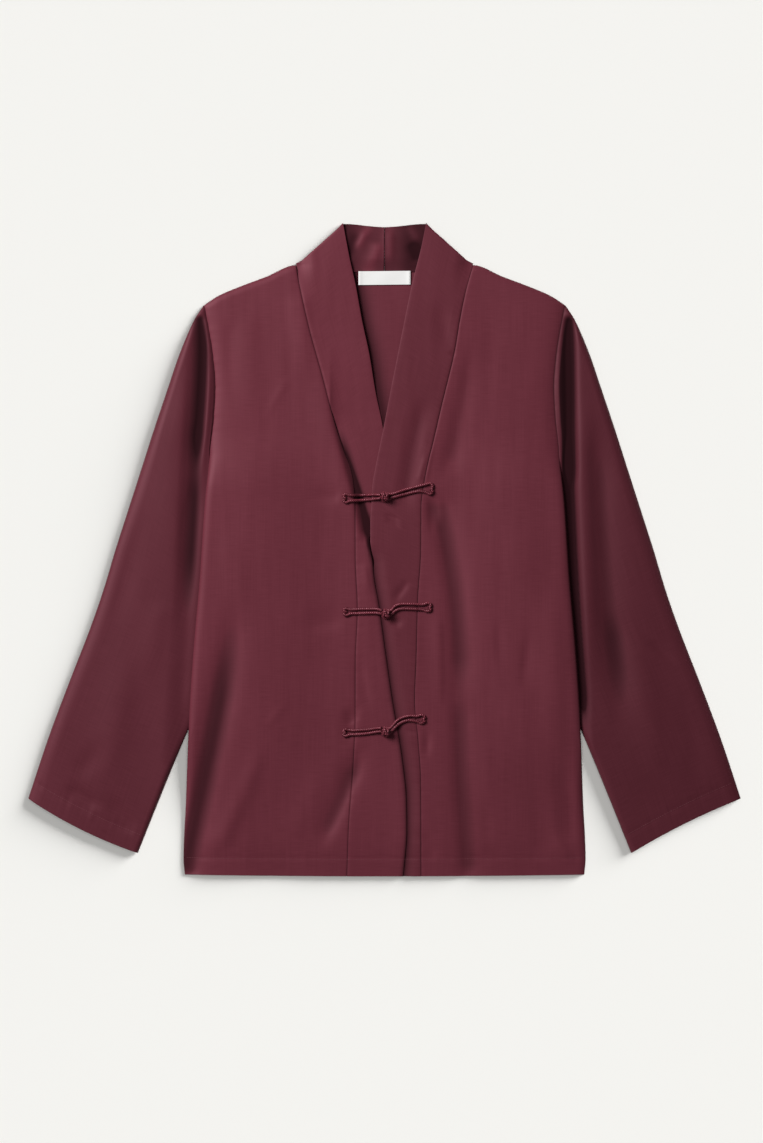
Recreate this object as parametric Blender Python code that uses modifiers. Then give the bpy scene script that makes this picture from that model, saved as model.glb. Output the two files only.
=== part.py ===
# A satin blouse with frog closures, laid flat on its back.
# X runs to the viewer's right, Y up the garment to the collar, and Z up off the surface.
# Right and left in the names are the wearer's, so a right piece lies at -X.

import math

import bmesh
import bpy
import numpy as np

# Cloth and seams, in metres
WALL = 0.0012
SEAM_GAP = 0.0003
PLAN_GAP = 0.0006

# Overall cut
SHOULDER_X = 0.2027
SHOULDER_HEIGHT = 0.6380
NECK_X = 0.0991
NECK_HEIGHT = 0.6832
COLLAR_TIP_X = 0.0465
COLLAR_TIP_HEIGHT = 0.7297
COLLAR_ROLL = 0.0020
UNDERARM_HEIGHT = 0.4581
MID_HEIGHT = 0.3643
HEM_BOW = 0.0015

# How the layers lie: air between front and back, and the body resting on the tucked sleeves
LOFT = 0.0030
LOFT_EDGE = 0.012
BAND_DROP = 0.0023
TUCK_RISE = 0.0052
TUCK_RAMP = 0.034
TUCK_CLEAR = 0.004
TUCK_TOP = 0.478
TUCK_FADE = 0.045
LAP_HEIGHT = 0.3606
LAP_SPAN = 0.024
PLUNGE_RUN = 0.005
LAP_RUN = 0.010

# The fronts swell gently from here outwards, so the tucked sleeves don't print through
SWELL_START = 0.060
SWELL_RUN = 0.100
SWELL_TOP = 0.560
SWELL_FADE = 0.120
SWELL_FOOT = 0.020
SWELL_FOOT_FADE = 0.160

# Sleeve section: height of its folded edges, of its flat part and of its air
SLEEVE_EDGE = 0.0016
SLEEVE_FLAT = 0.0034
SLEEVE_LOFT = 0.0032
SLEEVE_CLEAR = 0.026
SLEEVE_TAPER = 0.20
SLEEVE_ROLL = 0.012
TUCK_ROLL = 0.006
CUFF_BOW_RIGHT = 0.0045
CUFF_BOW_LEFT = -0.0030
CUFF_BOW_WAY = (0.45, -0.90)

# Label and frogs
LABEL_SIZE = (0.0594, 0.0162, 0.0008)
LABEL_HEIGHT = 0.6665
CORD_RADIUS = 0.0016
CORD_PAIR = 0.0025
TAIL_FLARE = 0.0042
KNOT_RADIUS = 0.0050
KNOT_LIFT = 0.0057
LOOP_RADIUS = 0.0044
STEM_START = 0.0053
STEM_LIFT = 0.0036

BURGUNDY = (0.155, 0.030, 0.046, 1.0)
CORD_RED = (0.110, 0.020, 0.032, 1.0)
LABEL_WHITE = (0.86, 0.85, 0.84, 1.0)

# Half width of the body, up the side seam and then the armhole seam
SIDE = (
    ("height", "x"),
    (0.0000, 0.2238),
    (0.0168, 0.2253),
    (0.0806, 0.2225),
    (0.1490, 0.2197),
    (0.1904, 0.2178),
    (0.2632, 0.2127),
    (0.3304, 0.2068),
    (0.4144, 0.2012),
    (0.4592, 0.1969),
    (0.4782, 0.1959),
    (0.5130, 0.1921),
    (0.5477, 0.1904),
    (0.5802, 0.1929),
    (0.6048, 0.1965),
    (0.6283, 0.2009),
    (SHOULDER_HEIGHT, SHOULDER_X),
)

# Top edge of the back: neck seam out to the neck point, then the shoulder
BACK_TOP = (
    ("x", "height"),
    (0.0000, 0.6754),
    (0.0392, 0.6759),
    (0.0728, 0.6782),
    (NECK_X, NECK_HEIGHT),
    (0.1318, 0.6704),
    (0.1646, 0.6580),
    (0.1859, 0.6488),
    (SHOULDER_X, SHOULDER_HEIGHT),
)

# Top edge of the standing band and the line where it folds to the front
COLLAR_TOP = (
    ("x", "height"),
    (0.0000, 0.7258),
    (0.0202, 0.7269),
    (0.0358, 0.7286),
    (COLLAR_TIP_X, COLLAR_TIP_HEIGHT),
)
COLLAR_FOLD = (
    ("across", "x", "height"),
    (0.00, NECK_X + 0.0002, NECK_HEIGHT + 0.0014),
    (0.25, 0.0848, 0.6926),
    (0.68, 0.0610, 0.7152),
    (1.00, COLLAR_TIP_X, COLLAR_TIP_HEIGHT),
)

# Seam of each band to its front, and the free edge of each band
RIGHT_SEAM = (
    ("height", "x"),
    (0.0000, -0.0420),
    (0.0504, -0.0403),
    (0.1288, -0.0347),
    (0.1736, -0.0327),
    (0.2408, -0.0325),
    (0.2968, -0.0302),
    (0.3528, -0.0325),
    (0.4144, -0.0328),
    (0.4402, -0.0347),
    (0.4581, -0.0386),
    (0.4760, -0.0454),
    (0.5085, -0.0562),
    (0.5611, -0.0702),
    (0.6115, -0.0841),
    (0.6608, -0.0952),
    (NECK_HEIGHT, -NECK_X),
)
RIGHT_EDGE = (
    ("height", "x"),
    (0.0000, 0.0207),
    (0.0504, 0.0246),
    (0.0840, 0.0241),
    (0.1288, 0.0196),
    (0.1960, 0.0084),
    (0.2498, 0.0006),
    (0.3024, -0.0067),
    (0.3338, -0.0123),
    (0.3506, -0.0151),
    (0.3629, -0.0177),
    (0.3741, -0.0194),
    (0.3920, -0.0084),
    (0.4144, 0.0017),
    (0.4424, 0.0039),
    (0.4704, 0.0022),
    (0.5011, -0.0019),
    (0.5415, -0.0103),
    (0.5833, -0.0172),
    (0.6223, -0.0256),
    (0.6612, -0.0326),
    (0.6922, -0.0395),
    (COLLAR_TIP_HEIGHT, -COLLAR_TIP_X),
)
LEFT_SEAM = (
    ("height", "x"),
    (0.0000, 0.0409),
    (0.1064, 0.0404),
    (0.1512, 0.0375),
    (0.1960, 0.0336),
    (0.2408, 0.0353),
    (0.3080, 0.0370),
    (0.3640, 0.0405),
    (0.4144, 0.0409),
    (0.4368, 0.0437),
    (0.4663, 0.0496),
    (0.4829, 0.0538),
    (0.5247, 0.0635),
    (0.5888, 0.0788),
    (0.6223, 0.0844),
    (0.6556, 0.0913),
    (NECK_HEIGHT, NECK_X),
)
LEFT_EDGE = (
    ("height", "x"),
    (0.0000, -0.0218),
    (0.1400, -0.0230),
    (0.2520, -0.0224),
    (0.3080, -0.0196),
    (0.3338, -0.0140),
    (0.3506, -0.0115),
    (0.3629, -0.0142),
    (0.3741, -0.0158),
    (0.3942, -0.0158),
    (0.4144, -0.0146),
    (0.4368, -0.0134),
    (0.4551, -0.0103),
    (0.4829, -0.0047),
    (0.5108, 0.0009),
    (0.5611, 0.0106),
    (0.6167, 0.0217),
    (0.6642, 0.0315),
    (0.7030, 0.0412),
    (COLLAR_TIP_HEIGHT, COLLAR_TIP_X),
)

# Where the right band plunges under the left one, above the crossing of the two edges
PLUNGE = (
    ("height", "x"),
    (0.3606, -0.0170),
    (0.3842, -0.0213),
    (0.4088, -0.0258),
    (0.4256, -0.0297),
    (0.4480, -0.0364),
    (0.4760, -0.0442),
    (0.5152, -0.0577),
)

# Sections of a sleeve from armhole to cuff: the outer folded edge and the inner one
SLEEVE = (
    ("along", "outer_x", "outer_height", "inner_x", "inner_height"),
    (0.00, 0.2032, 0.6380, 0.1974, 0.4581),
    (0.05, 0.2130, 0.6227, 0.1996, 0.4446),
    (0.12, 0.2303, 0.5824, 0.2023, 0.4234),
    (0.19, 0.2424, 0.5466, 0.1977, 0.3954),
    (0.27, 0.2579, 0.5006, 0.1848, 0.3674),
    (0.35, 0.2722, 0.4558, 0.1736, 0.3405),
    (0.43, 0.2873, 0.4088, 0.1663, 0.3114),
    (0.51, 0.3013, 0.3651, 0.1680, 0.2856),
    (0.59, 0.3147, 0.3203, 0.1781, 0.2554),
    (0.67, 0.3298, 0.2766, 0.1938, 0.2206),
    (0.78, 0.3528, 0.2173, 0.2206, 0.1613),
    (0.89, 0.3763, 0.1546, 0.2489, 0.0930),
    (1.00, 0.3992, 0.0857, 0.2764, 0.0246),
)

# The largest folds: a path through three points, its half width and its height
FOLD_COLUMNS = ("x0", "height0", "x1", "height1", "x2", "height2", "width", "lift")
RIGHT_FOLDS = (
    FOLD_COLUMNS,
    (-0.0946, 0.6552, -0.0902, 0.5936, -0.0745, 0.5320, 0.010, 0.0020),
    (-0.0640, 0.5096, -0.0455, 0.4424, -0.0290, 0.3700, 0.006, 0.0026),
    (-0.1898, 0.3752, -0.1960, 0.2117, -0.2100, 0.0582, 0.012, -0.0018),
    (-0.1708, 0.4200, -0.1753, 0.2632, -0.1898, 0.0840, 0.014, 0.0016),
    (-0.2050, 0.0392, -0.1820, 0.0840, -0.1562, 0.1456, 0.009, 0.0020),
    (-0.1674, 0.0280, -0.1372, 0.0706, -0.1058, 0.1232, 0.010, 0.0016),
    (-0.0756, 0.0168, -0.0610, 0.0672, -0.0476, 0.1232, 0.009, -0.0018),
)
LEFT_FOLDS = (
    FOLD_COLUMNS,
    (0.0790, 0.5656, 0.0622, 0.5040, 0.0510, 0.4424, 0.009, -0.0018),
    (0.0454, 0.5320, 0.0263, 0.4872, 0.0162, 0.4312, 0.007, -0.0014),
    (0.0577, 0.5320, 0.0398, 0.4872, 0.0308, 0.4334, 0.006, 0.0020),
    (0.0678, 0.3192, 0.0722, 0.2520, 0.0734, 0.1680, 0.009, -0.0020),
    (0.0868, 0.3304, 0.0913, 0.2520, 0.0935, 0.1512, 0.012, 0.0016),
    (0.0734, 0.1680, 0.0790, 0.0952, 0.0846, 0.0224, 0.007, -0.0014),
    (0.1798, 0.3528, 0.1887, 0.2184, 0.1943, 0.0840, 0.015, 0.0016),
)
RIGHT_SLEEVE_FOLDS = (
    FOLD_COLUMNS,
    (-0.2066, 0.6026, -0.2178, 0.4525, -0.2240, 0.3450, 0.008, -0.0030),
    (-0.2290, 0.5936, -0.2458, 0.4536, -0.2626, 0.3080, 0.016, 0.0020),
    (-0.2900, 0.2800, -0.2950, 0.1900, -0.3150, 0.1000, 0.018, 0.0016),
)
LEFT_SLEEVE_FOLDS = (
    FOLD_COLUMNS,
    (0.2134, 0.5600, 0.2246, 0.4346, 0.2346, 0.2453, 0.009, 0.0022),
    (0.2358, 0.5230, 0.2470, 0.4346, 0.2503, 0.2890, 0.012, -0.0022),
    (0.2716, 0.3640, 0.2850, 0.2700, 0.2950, 0.1500, 0.018, 0.0018),
)

# Each closure: tail of the knot side, the knot, and tail of the loop side
FROGS = (
    ("tail_x", "tail_height", "knot_x", "knot_height", "loop_x", "loop_height"),
    (-0.0431, 0.4222, 0.0003, 0.4234, 0.0510, 0.4323),
    (-0.0426, 0.2946, 0.0017, 0.2925, 0.0487, 0.3020),
    (-0.0431, 0.1602, 0.0014, 0.1606, 0.0442, 0.1742),
)

# Rows and columns of the cloth
BODY_ROWS = np.linspace(0.0, 1.0, 25)
BACK_COLUMNS = np.array([0.0, 0.14, 0.27, 0.38, NECK_X / SHOULDER_X, 0.60, 0.70, 0.79, 0.87, 0.94, 1.0])
FRONT_COLUMNS = np.array([0.0, 0.06, 0.13, 0.21, 0.30, 0.39, 0.48, 0.57, 0.66, 0.75, 0.84, 0.92, 1.0])
BAND_COLUMNS = np.linspace(0.0, 1.0, 7)
SLEEVE_ROWS = np.array([0.0, 0.03, 0.07, 0.12, 0.17, 0.22, 0.27, 0.32, 0.37, 0.43, 0.49, 0.55,
                        0.61, 0.67, 0.73, 0.79, 0.86, 0.93, 1.0])
SLEEVE_SPREAD = (0.10, 0.22, 0.34, 0.45, 0.56, 0.67, 0.78, 0.89)
SLEEVE_UNDER_SPREAD = (0.20, 0.50, 0.80)


def column(table, name):
    return np.array([row[table[0].index(name)] for row in table[1:]])


def read(table, key, name, at):
    # A smooth curve through the rows that never overshoots them
    xs = column(table, key)
    ys = column(table, name)
    if xs[0] > xs[-1]:
        xs = xs[::-1]
        ys = ys[::-1]
    steps = np.diff(xs)
    slopes = np.diff(ys) / steps
    tangents = np.concatenate([slopes[:1], np.zeros(len(xs) - 2), slopes[-1:]])
    before = slopes[:-1]
    after = slopes[1:]
    level = before * after > 0.0
    tangents[1:-1][level] = (2.0 * before * after)[level] / (before + after)[level]
    at = np.clip(at, xs[0], xs[-1])
    i = np.clip(np.searchsorted(xs, at, side="right") - 1, 0, len(xs) - 2)
    t = (at - xs[i]) / steps[i]
    rise = ys[i + 1] - ys[i]
    bend = tangents[i] * steps[i]
    bend_out = tangents[i + 1] * steps[i]
    return ys[i] + bend * t + (3 * rise - 2 * bend - bend_out) * t ** 2 + (bend + bend_out - 2 * rise) * t ** 3


def ease(value):
    t = np.clip(value, 0.0, 1.0)
    return t * t * (3.0 - 2.0 * t)


def fold_lift(folds, x, height):
    # Sum of soft ridges and troughs, each fading out at both ends of its path
    total = np.zeros(np.broadcast(x, height).shape)
    steps = np.linspace(0.0, 1.0, 13)
    for row in folds[1:]:
        x0, h0, x1, h1, x2, h2, width, lift = row
        through = 2 * steps * (1 - steps)
        px = (1 - steps) ** 2 * x0 + through * (2 * x1 - (x0 + x2) / 2) + steps ** 2 * x2
        ph = (1 - steps) ** 2 * h0 + through * (2 * h1 - (h0 + h2) / 2) + steps ** 2 * h2
        nearest = np.full(total.shape, 1.0)
        along = np.zeros(total.shape)
        for k in range(len(steps) - 1):
            dx = px[k + 1] - px[k]
            dh = ph[k + 1] - ph[k]
            t = np.clip(((x - px[k]) * dx + (height - ph[k]) * dh) / (dx * dx + dh * dh), 0.0, 1.0)
            gap = np.hypot(x - px[k] - t * dx, height - ph[k] - t * dh)
            closer = gap < nearest
            nearest = np.where(closer, gap, nearest)
            along = np.where(closer, (k + t) / (len(steps) - 1), along)
        fade = ease(along / 0.25) * ease((1.0 - along) / 0.25)
        total = total + lift * fade * np.exp(-(nearest / width) ** 2)
    return total


def back_level(x, height):
    # Middle of the back's wall: flat on the surface, and up over the sleeves tucked below it
    tuck = read(SLEEVE, "inner_height", "inner_x", height)
    reach = ease((np.abs(x) - tuck + TUCK_RAMP) / (TUCK_RAMP - TUCK_CLEAR))
    return WALL / 2 + TUCK_RISE * reach * ease((TUCK_TOP - height) / TUCK_FADE)


def front_swell(x, height):
    # How far a front bridges the step of the back beside the tucked sleeve
    tall = ease((SWELL_TOP - height) / SWELL_FADE) * ease((height - SWELL_FOOT) / SWELL_FOOT_FADE)
    swell = WALL / 2 + TUCK_RISE * ease((np.abs(x) - SWELL_START) / SWELL_RUN) * tall
    return np.maximum(swell - back_level(x, height), 0.0)


def front_level(x, height, edge_fade, folds):
    # Middle of a front's wall: a seam's gap over the back at the edges, with air inside
    air = LOFT + front_swell(x, height) + fold_lift(folds, x, height)
    return back_level(x, height) + WALL + SEAM_GAP + edge_fade * air


def panel_fade(x, height):
    side = np.maximum(read(SIDE, "height", "x", height) - np.abs(x), 0.0)
    top = np.maximum(read(BACK_TOP, "x", "height", np.maximum(np.abs(x), NECK_X)) - height, 0.0)
    return (1.0 - np.exp(-side / LOFT_EDGE)) * (1.0 - np.exp(-top / LOFT_EDGE))


def band_fade(across, height):
    below = np.maximum(NECK_HEIGHT - height, 0.0)
    return 1.0 - (1.0 - ease(across / 0.35)) * np.exp(-below / LOFT_EDGE)


def right_drop(x, height):
    over = ease((height - LAP_HEIGHT + LAP_SPAN / 2) / LAP_SPAN) * ease((0.60 - height) / 0.10)
    return BAND_DROP * over * ease((x - read(PLUNGE, "height", "x", height) + 0.001) / PLUNGE_RUN)


def left_drop(x, height):
    under = 1.0 - ease((height - LAP_HEIGHT + LAP_SPAN / 2) / LAP_SPAN)
    return BAND_DROP * under * (1.0 - ease((x - read(RIGHT_EDGE, "height", "x", height) - 0.001) / LAP_RUN))


def place(x, height, z):
    return np.stack(np.broadcast_arrays(x, height - MID_HEIGHT, z), axis=-1)


def back_points(u, v):
    x = u * read(SIDE, "height", "x", v * SHOULDER_HEIGHT)
    top = read(BACK_TOP, "x", "height", np.abs(u) * SHOULDER_X)
    height = v * top - HEM_BOW * (1.0 - v) * (1.0 - u * u)
    return place(x, height, back_level(x, height))


def front_points(seam, side, folds):
    def points(u, v):
        outer = side * read(SIDE, "height", "x", v * SHOULDER_HEIGHT)
        inner = read(seam, "height", "x", v * NECK_HEIGHT) + side * PLAN_GAP / 2
        x = outer + (inner - outer) * u
        straight = v * (SHOULDER_HEIGHT + (NECK_HEIGHT - SHOULDER_HEIGHT) * u)
        top_x = SHOULDER_X + (NECK_X - SHOULDER_X) * u
        bow = read(BACK_TOP, "x", "height", top_x) - SHOULDER_HEIGHT - (NECK_HEIGHT - SHOULDER_HEIGHT) * u
        height = straight + bow * v ** 6 - HEM_BOW * (1.0 - v) * (1.0 - (x / SHOULDER_X) ** 2)
        return place(x, height, front_level(x, height, panel_fade(x, height), folds))
    return points


def band_rows():
    # Negative rows cross the back of the neck, rows 0 to 1 roll over the fold, and higher ones run down
    back = np.linspace(-1.0, -0.12, 6)
    roll = np.linspace(0.0, 1.0, 7)
    heights = np.concatenate([
        np.linspace(0.718, 0.500, 17),
        np.linspace(0.488, 0.400, 8),
        np.linspace(0.391, 0.330, 7),
        np.linspace(0.318, 0.0, 17),
    ])
    return np.concatenate([back, roll, 1.0 + (COLLAR_TIP_HEIGHT - heights) / COLLAR_TIP_HEIGHT])


def band_points(seam, edge, side, folds, drop):
    def points(across, row):
        fold_x = read(COLLAR_FOLD, "across", "x", across)
        fold_height = read(COLLAR_FOLD, "across", "height", across)
        top_level = front_level(side * fold_x, fold_height, band_fade(across, fold_height), folds)
        radius = (top_level - WALL / 2) / 2
        inset = np.minimum(radius, COLLAR_ROLL)
        direction = np.array([COLLAR_TIP_HEIGHT - NECK_HEIGHT, NECK_X - COLLAR_TIP_X])
        direction = direction / np.linalg.norm(direction)

        start = -row
        centre_height = read(BACK_TOP, "x", "height", 0.0) * (1 - across) + COLLAR_TOP[1][1] * across
        neck_x = PLAN_GAP / 2 + (fold_x - inset * direction[0] - PLAN_GAP / 2) * (1.0 - start)
        seam_height = read(BACK_TOP, "x", "height", np.minimum(neck_x, NECK_X)) + PLAN_GAP
        rim_height = read(COLLAR_TOP, "x", "height", neck_x * COLLAR_TIP_X / fold_x)
        back_height = seam_height + (rim_height - seam_height) * across
        blend = (1.0 - start) ** 2
        back_height = back_height * (1 - blend) + (fold_height - inset * direction[1]) * blend
        back_height = np.where(start > 0.999, centre_height + PLAN_GAP * (1 - across), back_height)
        back = (neck_x, back_height, WALL / 2 + 0.0 * neck_x)

        turn = math.pi * (np.clip(row, 0.0, 1.0) - 0.5)
        reach = inset * (np.cos(turn) - 1.0)
        roll = (fold_x + reach * direction[0], fold_height + reach * direction[1],
                WALL / 2 + radius * (1.0 + np.sin(turn)))

        down = np.clip(row - 1.0, 0.0, 1.0)
        seam_h = NECK_HEIGHT * (1.0 - down)
        edge_h = COLLAR_TIP_HEIGHT * (1.0 - down)
        seam_x = read(seam, "height", "x", seam_h) - side * PLAN_GAP / 2
        edge_x = read(edge, "height", "x", edge_h)
        x = seam_x + (edge_x - seam_x) * across
        height = seam_h + (edge_h - seam_h) * across - HEM_BOW * down ** 30
        level = front_level(x, height, band_fade(across, height), folds) - drop(x, height)

        chosen = [
            np.where(row < 0.0, side * back[k] if k == 0 else back[k],
                     np.where(row <= 1.0, side * roll[k] if k == 0 else roll[k], (x, height, level)[k]))
            for k in range(3)
        ]
        return place(*chosen)
    return points


def sleeve_points(side, cuff_bow, folds):
    def points(ring, along):
        # ring runs over the upper wall from the outer edge to the inner one and back below
        outer = (read(SLEEVE, "along", "outer_x", along), read(SLEEVE, "along", "outer_height", along))
        inner = (read(SLEEVE, "along", "inner_x", along), read(SLEEVE, "along", "inner_height", along))
        length = np.hypot(outer[0] - inner[0], outer[1] - inner[1])
        lower = ring < 0.0
        span = np.abs(ring)
        edge = np.where(span < 0.03, span, np.where(span > 0.97, span - 1.0, 0.0)) / length
        share = np.where(span < 0.03, edge, np.where(span > 0.97, 1.0 + edge, span))
        x = outer[0] + (inner[0] - outer[0]) * share
        height = outer[1] + (inner[1] - outer[1]) * share

        seam_height = SHOULDER_HEIGHT + (UNDERARM_HEIGHT - SHOULDER_HEIGHT) * share
        seam_x = read(SIDE, "height", "x", seam_height) + PLAN_GAP
        straight_x = SLEEVE[1][1] + (SLEEVE[1][3] - SLEEVE[1][1]) * share
        x = x + (seam_x - straight_x) * np.clip(1.0 - 5.0 * along, 0.0, 1.0) ** 2
        bulge = cuff_bow * 4.0 * share * (1.0 - share) * along ** 8
        x = x + bulge * CUFF_BOW_WAY[0]
        height = height + bulge * CUFF_BOW_WAY[1]

        from_outer = share * length
        from_inner = (1.0 - share) * length
        roll_out = np.sqrt(1.0 - (1.0 - np.clip(from_outer / SLEEVE_ROLL, 0.0, 1.0)) ** 2)
        roll_in = np.sqrt(1.0 - (1.0 - np.clip(from_inner / TUCK_ROLL, 0.0, 1.0)) ** 2)
        clear = ease((x - read(SIDE, "height", "x", height)) / SLEEVE_CLEAR)
        air = clear * (SLEEVE_LOFT * (1.0 - SLEEVE_TAPER * along) + fold_lift(folds, side * x, height))
        top = SLEEVE_FLAT + np.maximum(air, 0.0)
        upper_z = SLEEVE_EDGE + (top - SLEEVE_EDGE) * roll_out * roll_in
        lower_z = SLEEVE_EDGE * (1.0 - roll_out * roll_in)
        return place(side * x, height, np.where(lower, lower_z, upper_z))
    return points


def sleeve_ring():
    # Values under 0.03 and over 0.97 are distances in metres from a folded edge
    rim = (0.001, 0.004)
    upper = [0.0] + list(rim) + list(SLEEVE_SPREAD) + [1.0 - d for d in reversed(rim)] + [1.0]
    lower = [-(1.0 - d) for d in rim] + [-s for s in reversed(SLEEVE_UNDER_SPREAD)]
    lower += [-d for d in reversed(rim)] + [0.0]
    return np.array(upper + lower)


def material(name, colour, roughness, sheen):
    made = bpy.data.materials.new(name)
    made.use_nodes = True
    shader = made.node_tree.nodes["Principled BSDF"]
    shader.inputs["Base Color"].default_value = colour
    shader.inputs["Roughness"].default_value = roughness
    shader.inputs["Metallic"].default_value = 0.0
    shader.inputs["Sheen Weight"].default_value = sheen
    made.diffuse_color = colour
    return made


def add_object(name, data, collection, finish):
    made = bpy.data.objects.new(name, data)
    data.materials.append(finish)
    collection.objects.link(made)
    return made


def cloth(name, columns, rows, points, offset, collection):
    # A grid laid out through the piece's own points, then given its wall
    grid = bmesh.new()
    bmesh.ops.create_grid(grid, x_segments=len(columns) - 1, y_segments=len(rows) - 1, size=0.5)
    across = [round((vert.co.x + 0.5) * (len(columns) - 1)) for vert in grid.verts]
    up = [round((vert.co.y + 0.5) * (len(rows) - 1)) for vert in grid.verts]
    placed = points(columns[across], rows[up])
    for vert, spot in zip(grid.verts, placed):
        vert.co = spot
    bmesh.ops.remove_doubles(grid, verts=grid.verts, dist=0.00001)
    mesh = bpy.data.meshes.new(name)
    grid.to_mesh(mesh)
    grid.free()
    made = add_object(name, mesh, collection, material(name + "_satin", BURGUNDY, 0.42, 0.25))
    wall = made.modifiers.new("wall", "SOLIDIFY")
    wall.thickness = WALL
    wall.offset = offset
    return made


def outer_top(x, height):
    # Highest cloth at a place near the front opening
    right = front_level(x, height, 1.0, RIGHT_FOLDS) - right_drop(x, height)
    left = front_level(x, height, 1.0, LEFT_FOLDS) - left_drop(x, height)
    right = np.where(x <= read(RIGHT_EDGE, "height", "x", height), right, 0.0)
    left = np.where(x >= read(LEFT_EDGE, "height", "x", height), left, 0.0)
    return np.maximum(left, right) + WALL / 2


def resting_level(x, height):
    # A cord bridges dips, so it takes the highest cloth within a few millimetres
    reach = np.linspace(-0.002, 0.002, 3)
    near = [outer_top(x + step, height + rise) for step in reach for rise in (-0.002, 0.0, 0.002)]
    return np.max(near, axis=0) + CORD_RADIUS + SEAM_GAP


def smooth_route(points, closed, pieces):
    # A curve through the route's points, read at a few places in each stretch
    count = len(points)
    route = []
    for i in range(count if closed else count - 1):
        if closed:
            a, b, c, d = (points[(i + k) % count] for k in (-1, 0, 1, 2))
        else:
            a, b, c, d = (points[min(max(i + k, 0), count - 1)] for k in (-1, 0, 1, 2))
        for k in range(pieces):
            t = k / pieces
            route.append(0.5 * (2 * b + (c - a) * t + (2 * a - 5 * b + 4 * c - d) * t * t
                                + (3 * b - a - 3 * c + d) * t ** 3))
    if not closed:
        route.append(points[-1])
    return route


def tail_end(length):
    # The stitched tail, where the doubled cord flares and turns back
    return [(length - 0.0060, CORD_PAIR), (length - 0.0030, 0.85 * TAIL_FLARE), (length - 0.0004, TAIL_FLARE),
            (length + 0.0014, 0.45 * TAIL_FLARE), (length + 0.0014, -0.45 * TAIL_FLARE),
            (length - 0.0004, -TAIL_FLARE), (length - 0.0030, -0.85 * TAIL_FLARE), (length - 0.0060, -CORD_PAIR)]


def frog_frame(knot, tail):
    axis = np.array(tail) - np.array(knot)
    length = float(np.linalg.norm(axis))
    return axis / length, length


def cord_piece(name, plan, lift, knot, axis, closed, finish, collection):
    # Plan points are along and across the frog's axis, measured from the knot
    route = []
    for along, across in plan:
        x = knot[0] + along * axis[0] - across * axis[1]
        height = knot[1] + along * axis[1] + across * axis[0]
        level = float(resting_level(x, height)) + lift(along)
        route.append(np.array([x, height - MID_HEIGHT, level]))
    curve = bpy.data.curves.new(name, "CURVE")
    curve.dimensions = "3D"
    curve.bevel_depth = CORD_RADIUS
    curve.bevel_resolution = 2
    curve.use_fill_caps = True
    spline = curve.splines.new("POLY")
    path = smooth_route(route, closed, 2)
    spline.points.add(len(path) - 1)
    for point, spot in zip(spline.points, path):
        point.co = (*spot, 1.0)
    spline.use_cyclic_u = closed
    return add_object(name, curve, collection, finish)


def stem_lift(along):
    return STEM_LIFT * float(1.0 - ease((along - 0.0085) / 0.010))


def no_lift(along):
    return 0.0


def frog(number, row, collection):
    tail, knot, loop = row[0:2], row[2:4], row[4:6]
    finish = material("frog_%d_cord" % number, CORD_RED, 0.5, 0.2)

    axis, length = frog_frame(knot, tail)
    runs = np.linspace(STEM_START, length - 0.012, 4)
    plan = [(a, CORD_PAIR) for a in runs] + tail_end(length) + [(a, -CORD_PAIR) for a in reversed(runs)]
    cord_piece("frog_%d_knot_cord" % number, plan, stem_lift, knot, axis, False, finish, collection)

    axis, length = frog_frame(knot, loop)
    turns = np.radians(np.linspace(320.0, 40.0, 8))
    ring = [(LOOP_RADIUS * math.cos(a), LOOP_RADIUS * math.sin(a)) for a in turns]
    runs = np.linspace(0.010, length - 0.012, 3)
    plan = ring + [(a, CORD_PAIR) for a in runs] + tail_end(length) + [(a, -CORD_PAIR) for a in reversed(runs)]
    cord_piece("frog_%d_loop_cord" % number, plan, no_lift, knot, axis, True, finish, collection)

    ball = bmesh.new()
    bmesh.ops.create_uvsphere(ball, u_segments=12, v_segments=8, radius=KNOT_RADIUS)
    mesh = bpy.data.meshes.new("frog_%d_knot" % number)
    ball.to_mesh(mesh)
    ball.free()
    mesh.shade_smooth()
    button = add_object("frog_%d_knot" % number, mesh, collection, finish)
    level = float(resting_level(knot[0], knot[1])) + KNOT_LIFT
    button.location = (knot[0], knot[1] - MID_HEIGHT, level)


def label(collection):
    plate = bmesh.new()
    bmesh.ops.create_cube(plate, size=1.0)
    bmesh.ops.scale(plate, vec=LABEL_SIZE, verts=plate.verts)
    mesh = bpy.data.meshes.new("label")
    plate.to_mesh(mesh)
    plate.free()
    made = add_object("label", mesh, collection, material("label_tape", LABEL_WHITE, 0.6, 0.1))
    made.location = (0.0, LABEL_HEIGHT - MID_HEIGHT, WALL + SEAM_GAP + LABEL_SIZE[2] / 2)


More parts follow.
